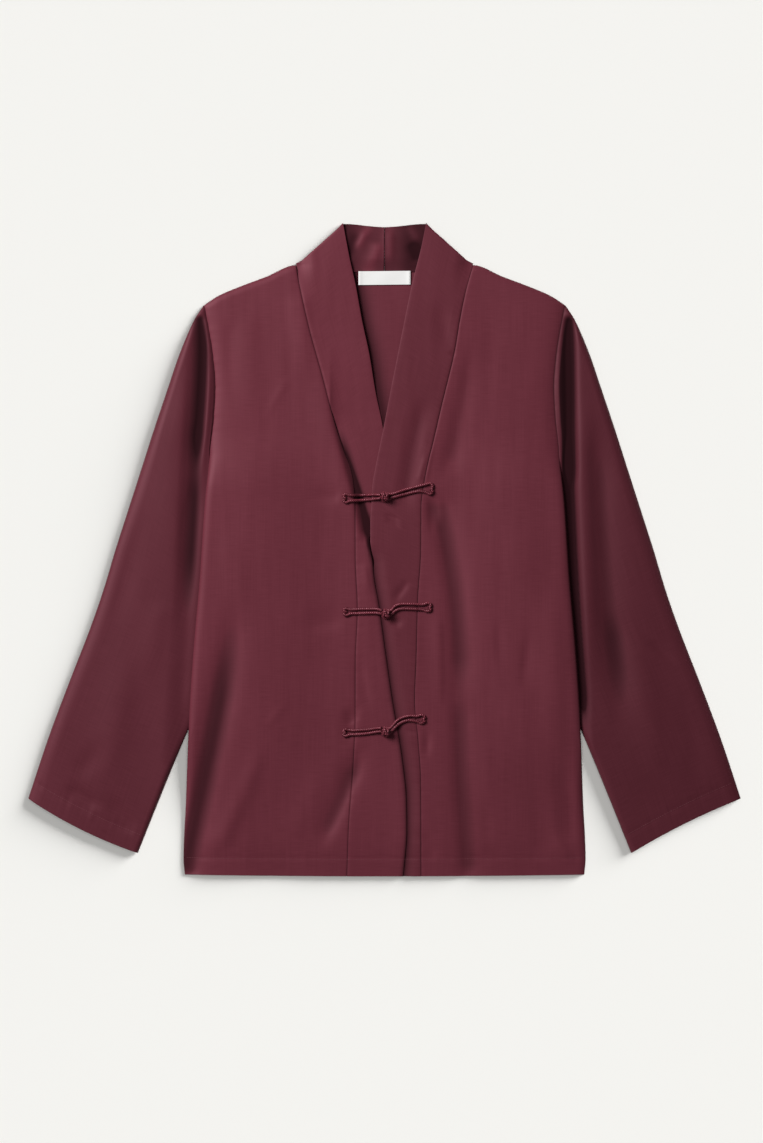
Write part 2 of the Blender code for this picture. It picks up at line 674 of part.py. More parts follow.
def build():
    for old in list(bpy.data.objects):
        bpy.data.objects.remove(old, do_unlink=True)
    collection = bpy.data.collections.new("frog_closure_blouse")
    bpy.context.scene.collection.children.link(collection)

    both = np.concatenate([-BACK_COLUMNS[:0:-1], BACK_COLUMNS])
    cloth("back", both, BODY_ROWS, back_points, 0.0, collection)
    cloth("front_right", FRONT_COLUMNS, BODY_ROWS, front_points(RIGHT_SEAM, -1, RIGHT_FOLDS), 0.0, collection)
    cloth("front_left", FRONT_COLUMNS, BODY_ROWS, front_points(LEFT_SEAM, 1, LEFT_FOLDS), 0.0, collection)
    right_band = band_points(RIGHT_SEAM, RIGHT_EDGE, -1, RIGHT_FOLDS, right_drop)
    left_band = band_points(LEFT_SEAM, LEFT_EDGE, 1, LEFT_FOLDS, left_drop)
    cloth("band_right", BAND_COLUMNS, band_rows(), right_band, 0.0, collection)
    cloth("band_left", BAND_COLUMNS, band_rows(), left_band, 0.0, collection)
    right_sleeve = sleeve_points(-1, CUFF_BOW_RIGHT, RIGHT_SLEEVE_FOLDS)
    left_sleeve = sleeve_points(1, CUFF_BOW_LEFT, LEFT_SLEEVE_FOLDS)
    cloth("sleeve_right", sleeve_ring(), SLEEVE_ROWS, right_sleeve, 1.0, collection)
    cloth("sleeve_left", sleeve_ring(), SLEEVE_ROWS, left_sleeve, -1.0, collection)
    label(collection)
    for number, row in enumerate(FROGS[1:], start=1):
        frog(number, row, collection)


build()
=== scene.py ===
import math

import bpy
import numpy as np
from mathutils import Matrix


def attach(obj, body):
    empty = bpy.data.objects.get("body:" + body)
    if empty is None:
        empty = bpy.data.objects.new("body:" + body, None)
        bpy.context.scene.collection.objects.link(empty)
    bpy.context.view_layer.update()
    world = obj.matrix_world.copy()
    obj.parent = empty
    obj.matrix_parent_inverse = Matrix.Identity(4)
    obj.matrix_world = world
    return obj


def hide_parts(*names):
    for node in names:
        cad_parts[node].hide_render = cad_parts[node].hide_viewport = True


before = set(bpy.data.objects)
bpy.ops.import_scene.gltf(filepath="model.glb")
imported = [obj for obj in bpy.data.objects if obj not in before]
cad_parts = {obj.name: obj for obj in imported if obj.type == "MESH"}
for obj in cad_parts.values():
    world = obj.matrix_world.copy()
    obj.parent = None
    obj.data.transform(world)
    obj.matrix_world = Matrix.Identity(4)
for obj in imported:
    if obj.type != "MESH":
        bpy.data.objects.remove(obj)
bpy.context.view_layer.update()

scene = bpy.context.scene

# Every length is in millimetres until a mesh is placed. Height runs up from the hem line, and
# right and left are the wearer's, so the right pieces lie at minus x.
blouse = {
    "hemLine": 364.3,          # from the middle of the garment down to the hem
    "hemBow": 1.5,
    "hemTurn": 19,             # from the hem up to its stitches
    "shoulder": (202.7, 638.0),
    "neck": (99.1, 683.2),
    "collarTip": (46.5, 729.7),
    "underarm": 458.1,
    "crossing": 360.6,         # where the two band edges cross
    "rest": 0.30,              # middle of the back's wall where it lies on the surface
    "overSleeves": 5.2,        # how far the body rises over the tucked sleeves
    "frontClear": 0.6,         # least height of a front above the back
    "bandClear": 0.85,
    "wall": 0.5,               # one layer of satin
    "bandWall": 1.1,           # the band is doubled
    "parting": 0.6,            # between two pieces at a seam
}
shoulderWide, shoulderHigh = blouse["shoulder"]
neckWide, neckHigh = blouse["neck"]
tipWide, tipHigh = blouse["collarTip"]

sideLine = (
    (0, 223.8), (16.8, 225.3), (80.6, 222.5), (149, 219.7), (190.4, 217.8), (263.2, 212.7), (330.4, 206.8),
    (414.4, 201.2), (459.2, 196.9), (478.2, 195.9), (513, 192.1), (547.7, 190.4), (580.2, 192.9),
    (604.8, 196.5), (628.3, 200.9), (638, 202.7),
)
backTop = (
    (0, 675.4), (39.2, 675.9), (72.8, 678.2), (99.1, 683.2), (131.8, 670.4), (164.6, 658), (185.9, 648.8),
    (202.7, 638),
)
collarTop = (
    (0, 725.8), (20.2, 726.9), (35.8, 728.6), (46.5, 729.7),
)
collarFold = (
    (0, 99.3, 684.6), (0.25, 84.8, 692.6), (0.68, 61, 715.2), (1, 46.5, 729.7),
)

rightSeam = (
    (0, -42), (50.4, -40.3), (128.8, -34.7), (173.6, -32.7), (240.8, -32.5), (296.8, -30.2), (352.8, -32.5),
    (414.4, -32.8), (440.2, -34.7), (458.1, -38.6), (476, -45.4), (508.5, -56.2), (561.1, -70.2),
    (611.5, -84.1), (660.8, -95.2), (683.2, -99.1),
)
rightEdge = (
    (0, 20.7), (50.4, 24.6), (84, 24.1), (128.8, 19.6), (196, 8.4), (249.8, 0.6), (302.4, -6.7),
    (333.8, -12.3), (350.6, -13.9), (362.9, -15.9), (374.1, -17.4), (396, -9.4), (414.4, 1.7), (442.4, 3.9),
    (470.4, 2.2), (501.1, -1.9), (541.5, -10.3), (583.3, -17.2), (622.3, -25.6), (661.2, -32.6),
    (692.2, -39.5), (729.7, -46.5),
)
leftSeam = (
    (0, 40.9), (106.4, 40.4), (151.2, 37.5), (196, 33.6), (240.8, 35.3), (308, 37), (364, 40.5),
    (414.4, 40.9), (436.8, 43.7), (466.3, 49.6), (482.9, 53.8), (524.7, 63.5), (588.8, 78.8), (622.3, 84.4),
    (655.6, 91.3), (683.2, 99.1),
)
leftEdge = (
    (0, -21.8), (140, -23), (252, -22.4), (308, -19.6), (333.8, -14), (350.6, -11.5), (362.9, -14.2),
    (374.1, -15.8), (394.2, -15.8), (414.4, -14.6), (436.8, -13.4), (455.1, -10.3), (482.9, -4.7),
    (510.8, 0.9), (561.1, 10.6), (616.7, 21.7), (664.2, 31.5), (703, 41.2), (729.7, 46.5),
)
plunge = (
    (360.6, -17), (384.2, -22.3), (408.8, -26.9), (425.6, -31.5), (448, -39.5), (476, -48.5), (515.2, -60),
)

# along, outer x, outer height, inner x, inner height
sleeveEdges = (
    (0, 203.2, 638, 197.4, 458.1), (0.05, 213, 622.7, 197.2, 444), (0.12, 230.3, 582.4, 197, 421),
    (0.19, 242.4, 546.6, 196, 396), (0.27, 257.9, 500.6, 187.5, 368), (0.35, 272.2, 455.8, 175, 341),
    (0.43, 287.3, 408.8, 166.3, 311.4), (0.51, 301.3, 365.1, 168, 285.6),
    (0.59, 314.7, 320.3, 178.1, 255.4), (0.67, 329.8, 276.6, 193.8, 220.6),
    (0.78, 352.8, 217.3, 220.6, 161.3), (0.89, 376.3, 154.6, 248.9, 93), (1, 399.2, 85.7, 276.4, 24.6),
)


def follow(table, at, key=0, value=1):
    # a smooth line through the table's rows that never overshoots them
    xs = np.array([row[key] for row in table], float)
    ys = np.array([row[value] for row in table], float)
    if xs[0] > xs[-1]:
        xs, ys = xs[::-1], ys[::-1]
    steps = np.diff(xs)
    slopes = np.diff(ys) / steps
    before, after = slopes[:-1], slopes[1:]
    tangents = np.concatenate([slopes[:1], np.zeros(len(xs) - 2), slopes[-1:]])
    same = before * after > 0
    tangents[1:-1][same] = (2 * before * after)[same] / (before + after)[same]
    at = np.clip(at, xs[0], xs[-1])
    i = np.clip(np.searchsorted(xs, at, side="right") - 1, 0, len(xs) - 2)
    t = (at - xs[i]) / steps[i]
    rise = ys[i + 1] - ys[i]
    bendIn, bendOut = tangents[i] * steps[i], tangents[i + 1] * steps[i]
    return (ys[i] + bendIn * t + (3 * rise - 2 * bendIn - bendOut) * t ** 2
            + (bendIn + bendOut - 2 * rise) * t ** 3)


def ease(value):
    t = np.clip(value, 0, 1)
    return t * t * (3 - 2 * t)


def quarterRound(distance, radius):
    return np.sqrt(1 - (1 - np.clip(distance / radius, 0, 1)) ** 2)


def spread(length, fine, coarse, reach):
    # steps that are short near both ends and longer between, from 0 to 1
    at, places = 0.0, [0.0]
    while at < length:
        near = min(at, length - at)
        at += fine + (coarse - fine) * float(ease(near / reach))
        places.append(at)
    return np.array(places) / places[-1]


def creases(folds, x, height):
    # Soft ridges and troughs, given one by one. Each runs through three places and has its own width on
    # each side of its line, its lift, and how much of its length it takes to rise and to die away.
    total = np.zeros(np.broadcast(x, height).shape)
    steps = np.linspace(0, 1, 15)
    for x0, h0, x1, h1, x2, h2, before, after, lift, rising, dying in folds:
        px, ph = ((1 - steps) ** 2 * a + 2 * steps * (1 - steps) * (2 * b - (a + c) / 2) + steps ** 2 * c
                  for a, b, c in ((x0, x1, x2), (h0, h1, h2)))
        nearest = np.full(total.shape, 1e6)
        along = np.zeros(total.shape)
        hand = np.zeros(total.shape)
        for k in range(len(steps) - 1):
            dx, dh = px[k + 1] - px[k], ph[k + 1] - ph[k]
            t = np.clip(((x - px[k]) * dx + (height - ph[k]) * dh) / (dx * dx + dh * dh), 0, 1)
            gap = np.hypot(x - px[k] - t * dx, height - ph[k] - t * dh)
            closer = gap < nearest
            nearest = np.where(closer, gap, nearest)
            along = np.where(closer, (k + t) / (len(steps) - 1), along)
            hand = np.where(closer, (x - px[k]) * dh - (height - ph[k]) * dx, hand)
        width = np.where(hand < 0, before, after)
        fade = ease(along / rising) * ease((1 - along) / dying)
        total = total + lift * fade * np.exp(-(nearest / width) ** 2)
    return total


def softWaves(x, height, seed, across=(70, 190), along=(220, 700)):
    # the slow unevenness of cloth that has been laid out by hand
    dice = np.random.default_rng(seed)
    total = 0
    for _ in range(10):
        kx = dice.choice((-1, 1)) / dice.uniform(*across)
        kh = 1 / dice.uniform(*along)
        swing = dice.uniform(0.4, 1)
        total = total + swing * np.sin(2 * math.pi * (x * kx + height * kh) + dice.uniform(0, 6.28))
    return total / 10 ** 0.5


def puckers(along, distance, seed, reach=6.0):
    # short ripples where a seam's thread draws the cloth in
    dice = np.random.default_rng(seed)
    total = 0
    for wave in (8.5, 12.5, 19.0, 31.0):
        phase = dice.uniform(0, 6.28) + 1.5 * np.sin(along / 47 + wave)
        total = total + np.sin(2 * math.pi * along / wave + phase)
    return 0.5 * total * np.exp(-distance / reach)


# x0, height0, x1, height1, x2, height2, width on the viewer's right and on the left of a line that
# runs down, lift, rising, dying
rightFolds = (
    (-95.6, 655.2, -92, 605, -82, 545, 10, 12, 1.2, 0.2, 0.5),   # beside the band seam
    (-100, 560, -120, 536, -136, 500, 5, 5, 0.35, 0.4, 0.5),
    (-152, 640, -150, 560, -146, 470, 9, 12, 0.7, 0.2, 0.6),
    (-172, 628, -172, 560, -166, 480, 8, 8, -0.7, 0.2, 0.6),
    (-78, 560, -52, 478, -30, 385, 5, 16, 1.3, 0.4, 0.2),   # over the plunging band
    (-63, 528, -36.5, 449, -19.5, 368, 9, 4.5, -3.6, 0.35, 0.12),
    (-24, 352, -20, 330, -16, 300, 4, 8, 1, 0.4, 0.5),
    (-160, 345, -189, 172, -228, -8, 16, 13, -4.6, 0.45, 0.05),   # the long valley at the side
    (-176, 400, -164, 330, -160, 270, 12, 15, 1, 0.3, 0.4),
    (-128, 168, -161, 84, -194, 20, 10, 12, 1.7, 0.4, 0.2),   # from the hem up to the right
    (-66, 128, -86, 80, -112, 30, 12, 13, 0.8, 0.4, 0.3),
    (-28, 140, -48, 86, -78, 22, 9, 12, -2.9, 0.3, 0.3),
    (-28, 196, -36, 172, -42, 140, 6, 9, -1.1, 0.4, 0.4),
    (-104, 200, -122, 179, -142, 152, 5, 5, 0.4, 0.5, 0.5),
    (-104, 278, -70, 282, -40, 285, 14, 9, -1.3, 0.5, 0.4),   # pulled by the second frog
    (-95, 420, -70, 424, -48, 423, 9, 7, -0.9, 0.6, 0.2),
    (-30, 250, -24, 215, -14, 178, 6, 10, -1, 0.4, 0.4),
    (-44, 190, -40, 176, -37, 168, 6, 5, -1, 0.5, 0.3),
    (-26, 150, -30, 120, -32, 80, 9, 7, -1.1, 0.3, 0.5),
)
leftFolds = (
    (102, 610, 86, 515, 65, 440, 15, 9, -2.3, 0.3, 0.25),   # below the band seam
    (108, 620, 98, 545, 78, 440, 14, 11, 0.7, 0.4, 0.4),
    (120, 640, 116, 560, 100, 460, 14, 14, -0.8, 0.3, 0.6),
    (50, 545, 34, 487.2, 19, 400, 11, 9, -2.1, 0.4, 0.2),   # in the band above the first frog
    (49, 478, 43, 458, 38, 438, 2.5, 3, 0.5, 0.5, 0.2),
    (58, 500, 51, 466, 46, 440, 2.5, 3, 0.5, 0.5, 0.2),
    (53, 432, 77, 320, 83, 190, 16, 9, -3.4, 0.12, 0.2),   # the long fold beside the band
    (60, 300, 61.5, 245, 63, 180, 4, 8, 1.2, 0.3, 0.3),
    (83.5, 235, 85, 120, 95, -15, 16, 9, -2.9, 0.3, 0.1),
    (56, 648, 66, 612, 68, 575, 9, 10, -1.1, 0.4, 0.5),
    (38, 60, 50, 34, 60, 16, 8, 8, -1, 0.4, 0.4),
    (112, 165, 119, 90, 124, 8, 16, 14, 0.8, 0.4, 0.2),
    (110, 90, 117, 50, 121, 8, 9, 9, -0.9, 0.5, 0.2),
    (126, 297, 128, 258, 129, 218, 7, 5, -0.9, 0.4, 0.5),
    (163, 286, 158, 240, 152, 196, 8, 5, -0.9, 0.4, 0.5),
    (150, 420, 160, 330, 165, 220, 20, 20, 1.2, 0.4, 0.5),
    (186, 352.8, 190, 218.4, 192, 84, 13, 17, 1.9, 0.3, 0.4),
    (160, 150, 172, 80, 178, 8, 12, 16, -1.4, 0.5, 0.2),
    (198, 150, 205, 80, 207, 26, 8, 12, -1.6, 0.4, 0.3),
    (188, 46, 200, 29, 212, 12, 5, 6, 0.9, 0.4, 0.4),
    (46.5, 172, 48, 148, 46, 126, 4, 5, -1.4, 0.5, 0.5),
    (72, 587, 76, 584, 81, 582, 2.2, 2.2, -0.6, 0.4, 0.4),
    (-2, 403, 9, 401, 19, 394, 1.8, 2.4, -1.1, 0.4, 0.4),   # small puckers below the frogs
    (-1, 398, 9, 395.5, 20, 388, 1.8, 2.4, -1.1, 0.4, 0.4),
    (27, 332, 20, 320, 9, 305, 4, 5, -1.1, 0.4, 0.3),
    (22, 166, 30, 161, 40, 160, 2.2, 2.6, -0.55, 0.4, 0.5),
    (8, 287, 13, 283, 20, 276, 6, 5, -1.5, 0.4, 0.5),
    (50, 424, 52, 400, 53, 372, 4, 4, -1.2, 0.3, 0.5),
    (60, 428, 62, 405, 62, 385, 5, 4, 0.9, 0.3, 0.5),
)


def backLevel(x, height):
    # middle of the back's wall: flat where it rests, and up over the sleeves tucked below it
    tuck = follow(sleeveEdges, height, 4, 3)
    reach = ease((np.abs(x) - tuck + 34) / 30)
    return blouse["rest"] + blouse["overSleeves"] * reach * ease((478 - height) / 45)


def panelEdges(x, height):
    # how far a front has filled out at a place, from 0 at its edge to 1
    side = np.maximum(follow(sideLine, height) - np.abs(x), 0)
    top = np.maximum(follow(backTop, np.maximum(np.abs(x), neckWide)) - height, 0)
    sewn = ease((height - 410) / 90)
    sideFill = quarterRound(side, 9) * (1 - sewn) + (1 - np.exp(-(side + 1.0) / 9)) * sewn
    return sideFill * quarterRound(top + 0.2, 9)


def bandEdges(across, height):
    # the same for the band, which is full everywhere but at the neck
    below = np.maximum(neckHigh - height, 0)
    return 1 - (1 - ease(across / 0.35)) * np.exp(-below / 12)


def bodySwell(x, height):
    # the fronts bridge the step that the tucked sleeve makes in the back
    tall = ease((500 - height) / 70) * ease((height - 20) / 160)
    bridge = blouse["rest"] + blouse["overSleeves"] * ease((np.abs(x) - 60) / 100) * tall
    return np.maximum(bridge - backLevel(x, height), 0)


# in the band across the back of the neck
neckFolds = (
    (-17, 728, -24, 714, -33, 698, 5, 4.5, 1, 0.1, 0.3),
    (-6, 712, -10, 694, -20, 674, 6, 8, 1.1, 0.3, 0.05),
    (5, 732, 6.5, 708, 5, 680, 5, 8, 1, 0.1, 0.3),
    (27, 728, 34, 717, 41, 706, 4.5, 5, 0.6, 0.1, 0.4),
    (29, 712, 35, 700, 40, 688, 8, 8, -0.8, 0.3, 0.2),
    (-27, 724, -36, 706, -40, 688, 5, 6, -0.5, 0.3, 0.3),
)


def restOn(level, ground):
    # keeps a sheet softly above what lies below it
    clear = level - ground
    return ground + 0.5 * (clear + np.sqrt(clear * clear + 0.16))


def paintedCreaseShade(fold):
    # painted shade in a crease: 0 on open cloth, 1 at the bottom of a deep crease
    return np.clip((-fold - 1.5) / 4.0, 0, 1)


def seamShade(distance):
    # a seam is a thin dark line
    return 0.5 * np.exp(-(distance / 0.6) ** 2)


def seamDepth(side, height):
    # the band seams lie deeper at the chest than below the first frog
    return 0.55 + 0.4 * ease((height - 430) / 60) - (0.2 if side > 0 else 0.0)


def frontLevel(x, height, fill, folds):
    # middle of the wall of a front or the band, and how much painted crease shade it gets there
    hemFill = 0.55 + 0.45 * ease(height / 40)
    fold = creases(folds, x, height)
    loft = 3.3 * hemFill + fold + 0.34 * softWaves(x, height, 24)
    loft = loft + 0.07 * softWaves(x, height, 31, (13, 30), (150, 420))
    loft = np.maximum(loft, -0.9)
    above = height - blouse["hemTurn"]
    stitched = -0.35 * np.exp(-(above / 2.2) ** 2) + 0.15 * ease(-above / 2)
    level = backLevel(x, height) + 0.9 + fill * (0.6 + bodySwell(x, height) + loft + stitched)
    return level, paintedCreaseShade(fold)


def swapped(height):
    # 0 below the crossing, where the right band lies on top, and 1 above it
    return ease((height - blouse["crossing"] + 12) / 24)


def rightDrop(x, height):
    # how far the right band dips below the left one above the crossing, and the painted shade in the recess
    # there
    over = swapped(height) * ease((600 - height) / 100)
    past = x - follow(plunge, height)
    lap = over * (1 - np.exp(-np.maximum(past + 1, 0) / 4.5))
    reach = 4 + 9 * ease((412 - height) / 30)
    dark = np.exp(-np.where(past > 3.5, (past - 3.5) / reach, (past - 3.5) / 3.5) ** 2)
    return 3.8 * lap, 1.2 * over * dark * ease((500 - height) / 60)


def leftDrop(x, height):
    # the same for the left band, below the crossing: its dip, and the painted shadow that the right band's
    # edge throws on it
    under = 1 - swapped(height)
    past = x - follow(rightEdge, height)
    return 1.6 * under * (1 - ease((past - 2) / 14)), 0.85 * under * np.exp(-np.maximum(past - 1, 0) / 4.0)


def toRow(x, height, z):
    # from millimetres above the hem line to metres from the garment's middle
    return np.stack(np.broadcast_arrays(x, height - blouse["hemLine"], z), axis=-1) * 0.001


def placesOf(mesh):
    places = np.empty(len(mesh.vertices) * 3)
    mesh.vertices.foreach_get("co", places)
    return places.reshape(-1, 3)


def alone(piece):
    # selects one piece and nothing else
    bpy.ops.object.select_all(action="DESELECT")
    piece.select_set(True)
    bpy.context.view_layer.objects.active = piece


def applyModifier(piece, kind, **settings):
    made = piece.modifiers.new(kind.lower(), kind)
    for name, value in settings.items():
        setattr(made, name, value)
    alone(piece)
    bpy.ops.object.modifier_apply(modifier=made.name)


def layCloth(name, columns, rows, shape, wall, offset=0.0, tube=False):
    # a grid laid out on the piece's own shape, with its cloth coordinates in metres, then its wall
    bpy.ops.object.select_all(action="DESELECT")
    bpy.ops.mesh.primitive_grid_add(x_subdivisions=len(columns) - 1, y_subdivisions=len(rows) - 1, size=1.0)
    piece = bpy.context.object
    piece.name = name
    mesh = piece.data
    mesh.name = name
    places = placesOf(mesh)
    across = np.rint((places[:, 0] + 0.5) * (len(columns) - 1)).astype(int)
    up = np.rint((places[:, 1] + 0.5) * (len(rows) - 1)).astype(int)
    spots, grain, seamsAndPaintedShade = shape(columns[across], rows[up])
    mesh.vertices.foreach_set("co", spots.ravel())
    corners = np.empty(len(mesh.loops), int)
    mesh.loops.foreach_get("vertex_index", corners)
    while mesh.uv_layers:
        mesh.uv_layers.remove(mesh.uv_layers[0])
    layer = mesh.uv_layers.new(name="cloth")
    layer.data.foreach_set("uv", (grain[corners] * 0.001).ravel())
    # the painted shade of creases, recesses and shadows, with the dark seam lines, is kept on the points for
    # the material
    shaded = mesh.attributes.new("seamsAndPaintedShade", "FLOAT", "POINT")
    shaded.data.foreach_set("value", np.broadcast_to(np.clip(seamsAndPaintedShade, 0, 1), across.shape).astype(float))
    mesh.update()
    alone(piece)
    bpy.ops.object.mode_set(mode="EDIT")
    bpy.ops.mesh.select_all(action="SELECT")
    bpy.ops.mesh.remove_doubles(threshold=0.00001)
    if tube:
        bpy.ops.mesh.normals_make_consistent(inside=False)
    bpy.ops.object.mode_set(mode="OBJECT")
    applyModifier(piece, "SOLIDIFY", thickness=wall * 0.001, offset=offset)
    applyModifier(piece, "BEVEL", width=wall * 0.00042, segments=2, limit_method="ANGLE",
                  angle_limit=math.radians(55))
    places = placesOf(mesh)
    places[:, 2] = np.maximum(places[:, 2], 0)          # nothing sinks below the surface
    mesh.vertices.foreach_set("co", places.ravel())
    mesh.update()
    alone(piece)
    bpy.ops.object.shade_smooth_by_angle(angle=math.radians(50))
    print(name, len(mesh.polygons), "faces, levels", spots[:, 2].min().round(4), spots[:, 2].max().round(4))
    return piece


# The back: one panel, seen through the neck and from below
backPanel = {"across": (450, 1.6, 4.4, 20), "up": (684, 1.4, 4.0, 24), "seed": 11}


def collarShade(x, height):
    # painted shadow on the inside of the back, dark beside the right band's edge, which stands above it
    past = x - follow(rightEdge, height)
    return 0.9 * ease((past + 4) / 4) * np.exp(-(np.maximum(past, 0) / 12) ** 2) * ease((height - 425) / 15)


def backShape(u, v):
    x = u * follow(sideLine, v * shoulderHigh)
    top = follow(backTop, np.abs(u) * shoulderWide)
    height = v * top - blouse["hemBow"] * (1 - v) * (1 - u * u)
    side = follow(sideLine, height) - np.abs(x)
    calm = ease(side / 25) * ease(height / 40) * ease((top - height) / 25)
    ripple = np.abs(softWaves(x, height, backPanel["seed"], (50, 140), (160, 500)))
    level = backLevel(x, height) + (0.1 + 0.7 * ease((height - 560) / 50)) * calm * ripple
    return toRow(x, height, level), np.stack([x, height], -1), collarShade(x, height)


backColumns = spread(*backPanel["across"]) * 2 - 1
back = layCloth("backPanel", backColumns, spread(*backPanel["up"]), backShape, blouse["wall"])


# The two fronts, from side seam to band seam
frontPanels = {"across": (190, 0.7, 2.4, 16), "up": (690, 0.8, 2.5, 26)}


def frontShape(seam, side, folds, seed):
    def shape(u, v):
        outer = side * follow(sideLine, v * shoulderHigh)
        inner = follow(seam, v * neckHigh) + side * blouse["parting"] / 4
        x = outer + (inner - outer) * u
        rise = neckHigh - shoulderHigh
        topX = shoulderWide + (neckWide - shoulderWide) * u
        bow = follow(backTop, topX) - shoulderHigh - rise * u
        straight = v * (shoulderHigh + rise * u)
        height = straight + bow * v ** 6 - blouse["hemBow"] * (1 - v) * (1 - (x / shoulderWide) ** 2)
        fromBand = np.abs(x - inner)
        fromSide = np.abs(x - outer)
        sewn = ease((height - 425) / 60)
        level, seamsAndPaintedShade = frontLevel(x, height, panelEdges(x, height), folds)
        level = level - seamDepth(side, height) * np.exp(-fromBand / 0.9)
        level = level - 0.8 * sewn * np.exp(-fromSide / 0.9)
        level = level + 0.09 * puckers(height, fromBand, seed)
        level = level + 0.12 * sewn * puckers(height, fromSide, seed + 1)
        level = level + 0.10 * puckers(x, np.abs(height - blouse["hemTurn"]), seed + 2, 7)
        level = restOn(level, backLevel(x, height) + blouse["frontClear"])
        seamsAndPaintedShade = seamsAndPaintedShade + seamShade(fromBand) + sewn * seamShade(fromSide) * (1.8 if side > 0 else 1.0)
        return toRow(x, height, level), np.stack([x, height], -1), seamsAndPaintedShade
    return shape


frontGrid = spread(*frontPanels["across"]), spread(*frontPanels["up"])
frontRight = layCloth("frontRight", *frontGrid, frontShape(rightSeam, -1, rightFolds, 21), blouse["wall"])
frontLeft = layCloth("frontLeft", *frontGrid, frontShape(leftSeam, 1, leftFolds, 31), blouse["wall"])


# The two halves of the neckband: across the back neck, over the fold, and down the front
neckband = {
    "width": 56, "across": (0.6, 1.7, 8), "behind": 50, "over": 13, "down": (725, 1.0, 1.9, 20),
    "rest": 0.56, "fromMiddle": 0.15, "inset": 2.0, "slump": 0.8, "slumpRun": 14 / 520,
}


def bandRows():
    # rows run from -1 at the middle of the neck to 0, over the fold to 1, and down the front to 2
    behind = np.linspace(-1, -0.02, neckband["behind"])
    roll = np.linspace(0, 1, neckband["over"])
    return np.concatenate([behind, roll, spread(*neckband["down"])[1:] + 1])


def bandShape(seam, edge, side, folds, drop, seed):
    def shape(across, row):
        foldX = follow(collarFold, across, 0, 1)
        foldHeight = follow(collarFold, across, 0, 2)
        topLevel = frontLevel(side * foldX, foldHeight, bandEdges(across, foldHeight), folds)[0]
        topLevel = restOn(topLevel - neckband["slump"], backLevel(foldX, foldHeight) + blouse["bandClear"])
        rest, fromMiddle = neckband["rest"], neckband["fromMiddle"]
        radius = (topLevel - rest) / 2
        inset = np.minimum(radius, neckband["inset"]) * (1 - 0.85 * ease((across - 0.7) / 0.3))
        lean = np.array([tipHigh - neckHigh, neckWide - tipWide])
        lean = lean / np.linalg.norm(lean)

        start = -row                                    # across the back of the neck
        neckX = fromMiddle + (foldX - inset * lean[0] - fromMiddle) * (1 - start)
        seamHeight = follow(backTop, np.minimum(neckX, neckWide)) + blouse["parting"] / 2
        rimHeight = follow(collarTop, neckX * tipWide / foldX)
        backHeight = seamHeight + (rimHeight - seamHeight) * across
        blend = (1 - start) ** 2
        backHeight = backHeight * (1 - blend) + (foldHeight - inset * lean[1]) * blend
        joined = 0.9 * np.exp(-neckX / 1.1) * ease(start * 4)
        drawn = creases(neckFolds, side * neckX, backHeight)
        wavy = (1.4 + 1.3 * drawn) * ease(start * 4) * ease(across * 3) * ease((1 - across) * 4)
        lapped = np.exp(-across * neckband["width"] / 1.6)       # over the edge of the back panel
        backHeight = backHeight - 1.2 * lapped * ease(start * 6)
        backZ = rest + wavy + joined * 0.3 + 0.65 * lapped * ease(start * 6)

        turn = math.pi * (np.clip(row, 0, 1) - 0.5)     # over the fold
        reach = inset * (np.cos(turn) - 1)
        rollX, rollHeight = foldX + reach * lean[0], foldHeight + reach * lean[1]
        rollZ = rest + radius * (1 + np.sin(turn))

        down = np.clip(row - 1, 0, 1)                   # down the front
        seamH = neckHigh * (1 - down)
        edgeH = tipHigh * (1 - down)
        seamX = follow(seam, seamH) - side * blouse["parting"] / 4
        edgeX = follow(edge, edgeH)
        x = seamX + (edgeX - seamX) * across
        height = seamH + (edgeH - seamH) * across - blouse["hemBow"] * down ** 30
        fromSeam, fromEdge = np.abs(x - seamX), np.abs(edgeX - x)
        level, seamsAndPaintedShade = frontLevel(x, height, bandEdges(across, height), folds)
        sunk, shaded = drop(x, height)
        level = level - sunk
        settle = ease(down * 14)
        level = level - neckband["slump"] * np.exp(-down / neckband["slumpRun"])
        if side < 0:                                    # its free edge stands up where it lies on top
            standing = ease((366 - height) / 20)
            level = level + (0.35 * np.exp(-fromEdge / 11) - 0.80 * np.exp(-fromEdge / 1.6)) * standing
            # painted shade along the free edge where it lies on the other band
            seamsAndPaintedShade = seamsAndPaintedShade + 0.75 * np.exp(-fromEdge / 1.8) * ease((402 - height) / 20)
        seams = seamDepth(side, height) * np.exp(-fromSeam / 0.9) + 0.35 * np.exp(-fromEdge / 1.4)
        ripples = 0.09 * puckers(height, fromSeam, seed) + 0.07 * puckers(height, fromEdge, seed + 1, 9)
        level = restOn(level - settle * seams + settle * ripples, backLevel(x, height) + blouse["bandClear"])
        seamsAndPaintedShade = np.clip(seamsAndPaintedShade + shaded, 0, 1) + settle * seamShade(fromSeam)

        pick = lambda a, b, c: np.where(row < 0, a, np.where(row <= 1, b, c))
        spots = toRow(pick(side * neckX, side * rollX, x), pick(backHeight, rollHeight, height),
                      pick(backZ, rollZ, level))
        length = pick(-start * 99, row * 6, 6 + down * neckHigh)
        # painted shade on the band behind the neck and over its fold: lighter on the drawn ridges, darker
        # away from the middle
        shade = ease((neckX - 24) / 20) if side < 0 else ease((neckX - 12) / 16)
        seamsAndPaintedShade = pick(0.46 - 0.42 * drawn + 0.34 * shade + seamShade(neckX), 0.2, seamsAndPaintedShade)
        return spots, np.stack([across * neckband["width"], length], -1), seamsAndPaintedShade
    return shape


bandGrid = spread(neckband["width"], *neckband["across"]), bandRows()
rightShape = bandShape(rightSeam, rightEdge, -1, rightFolds, rightDrop, 41)
leftShape = bandShape(leftSeam, leftEdge, 1, leftFolds, leftDrop, 51)
bandRight = layCloth("bandRight", *bandGrid, rightShape, blouse["bandWall"])
bandLeft = layCloth("bandLeft", *bandGrid, leftShape, blouse["bandWall"])


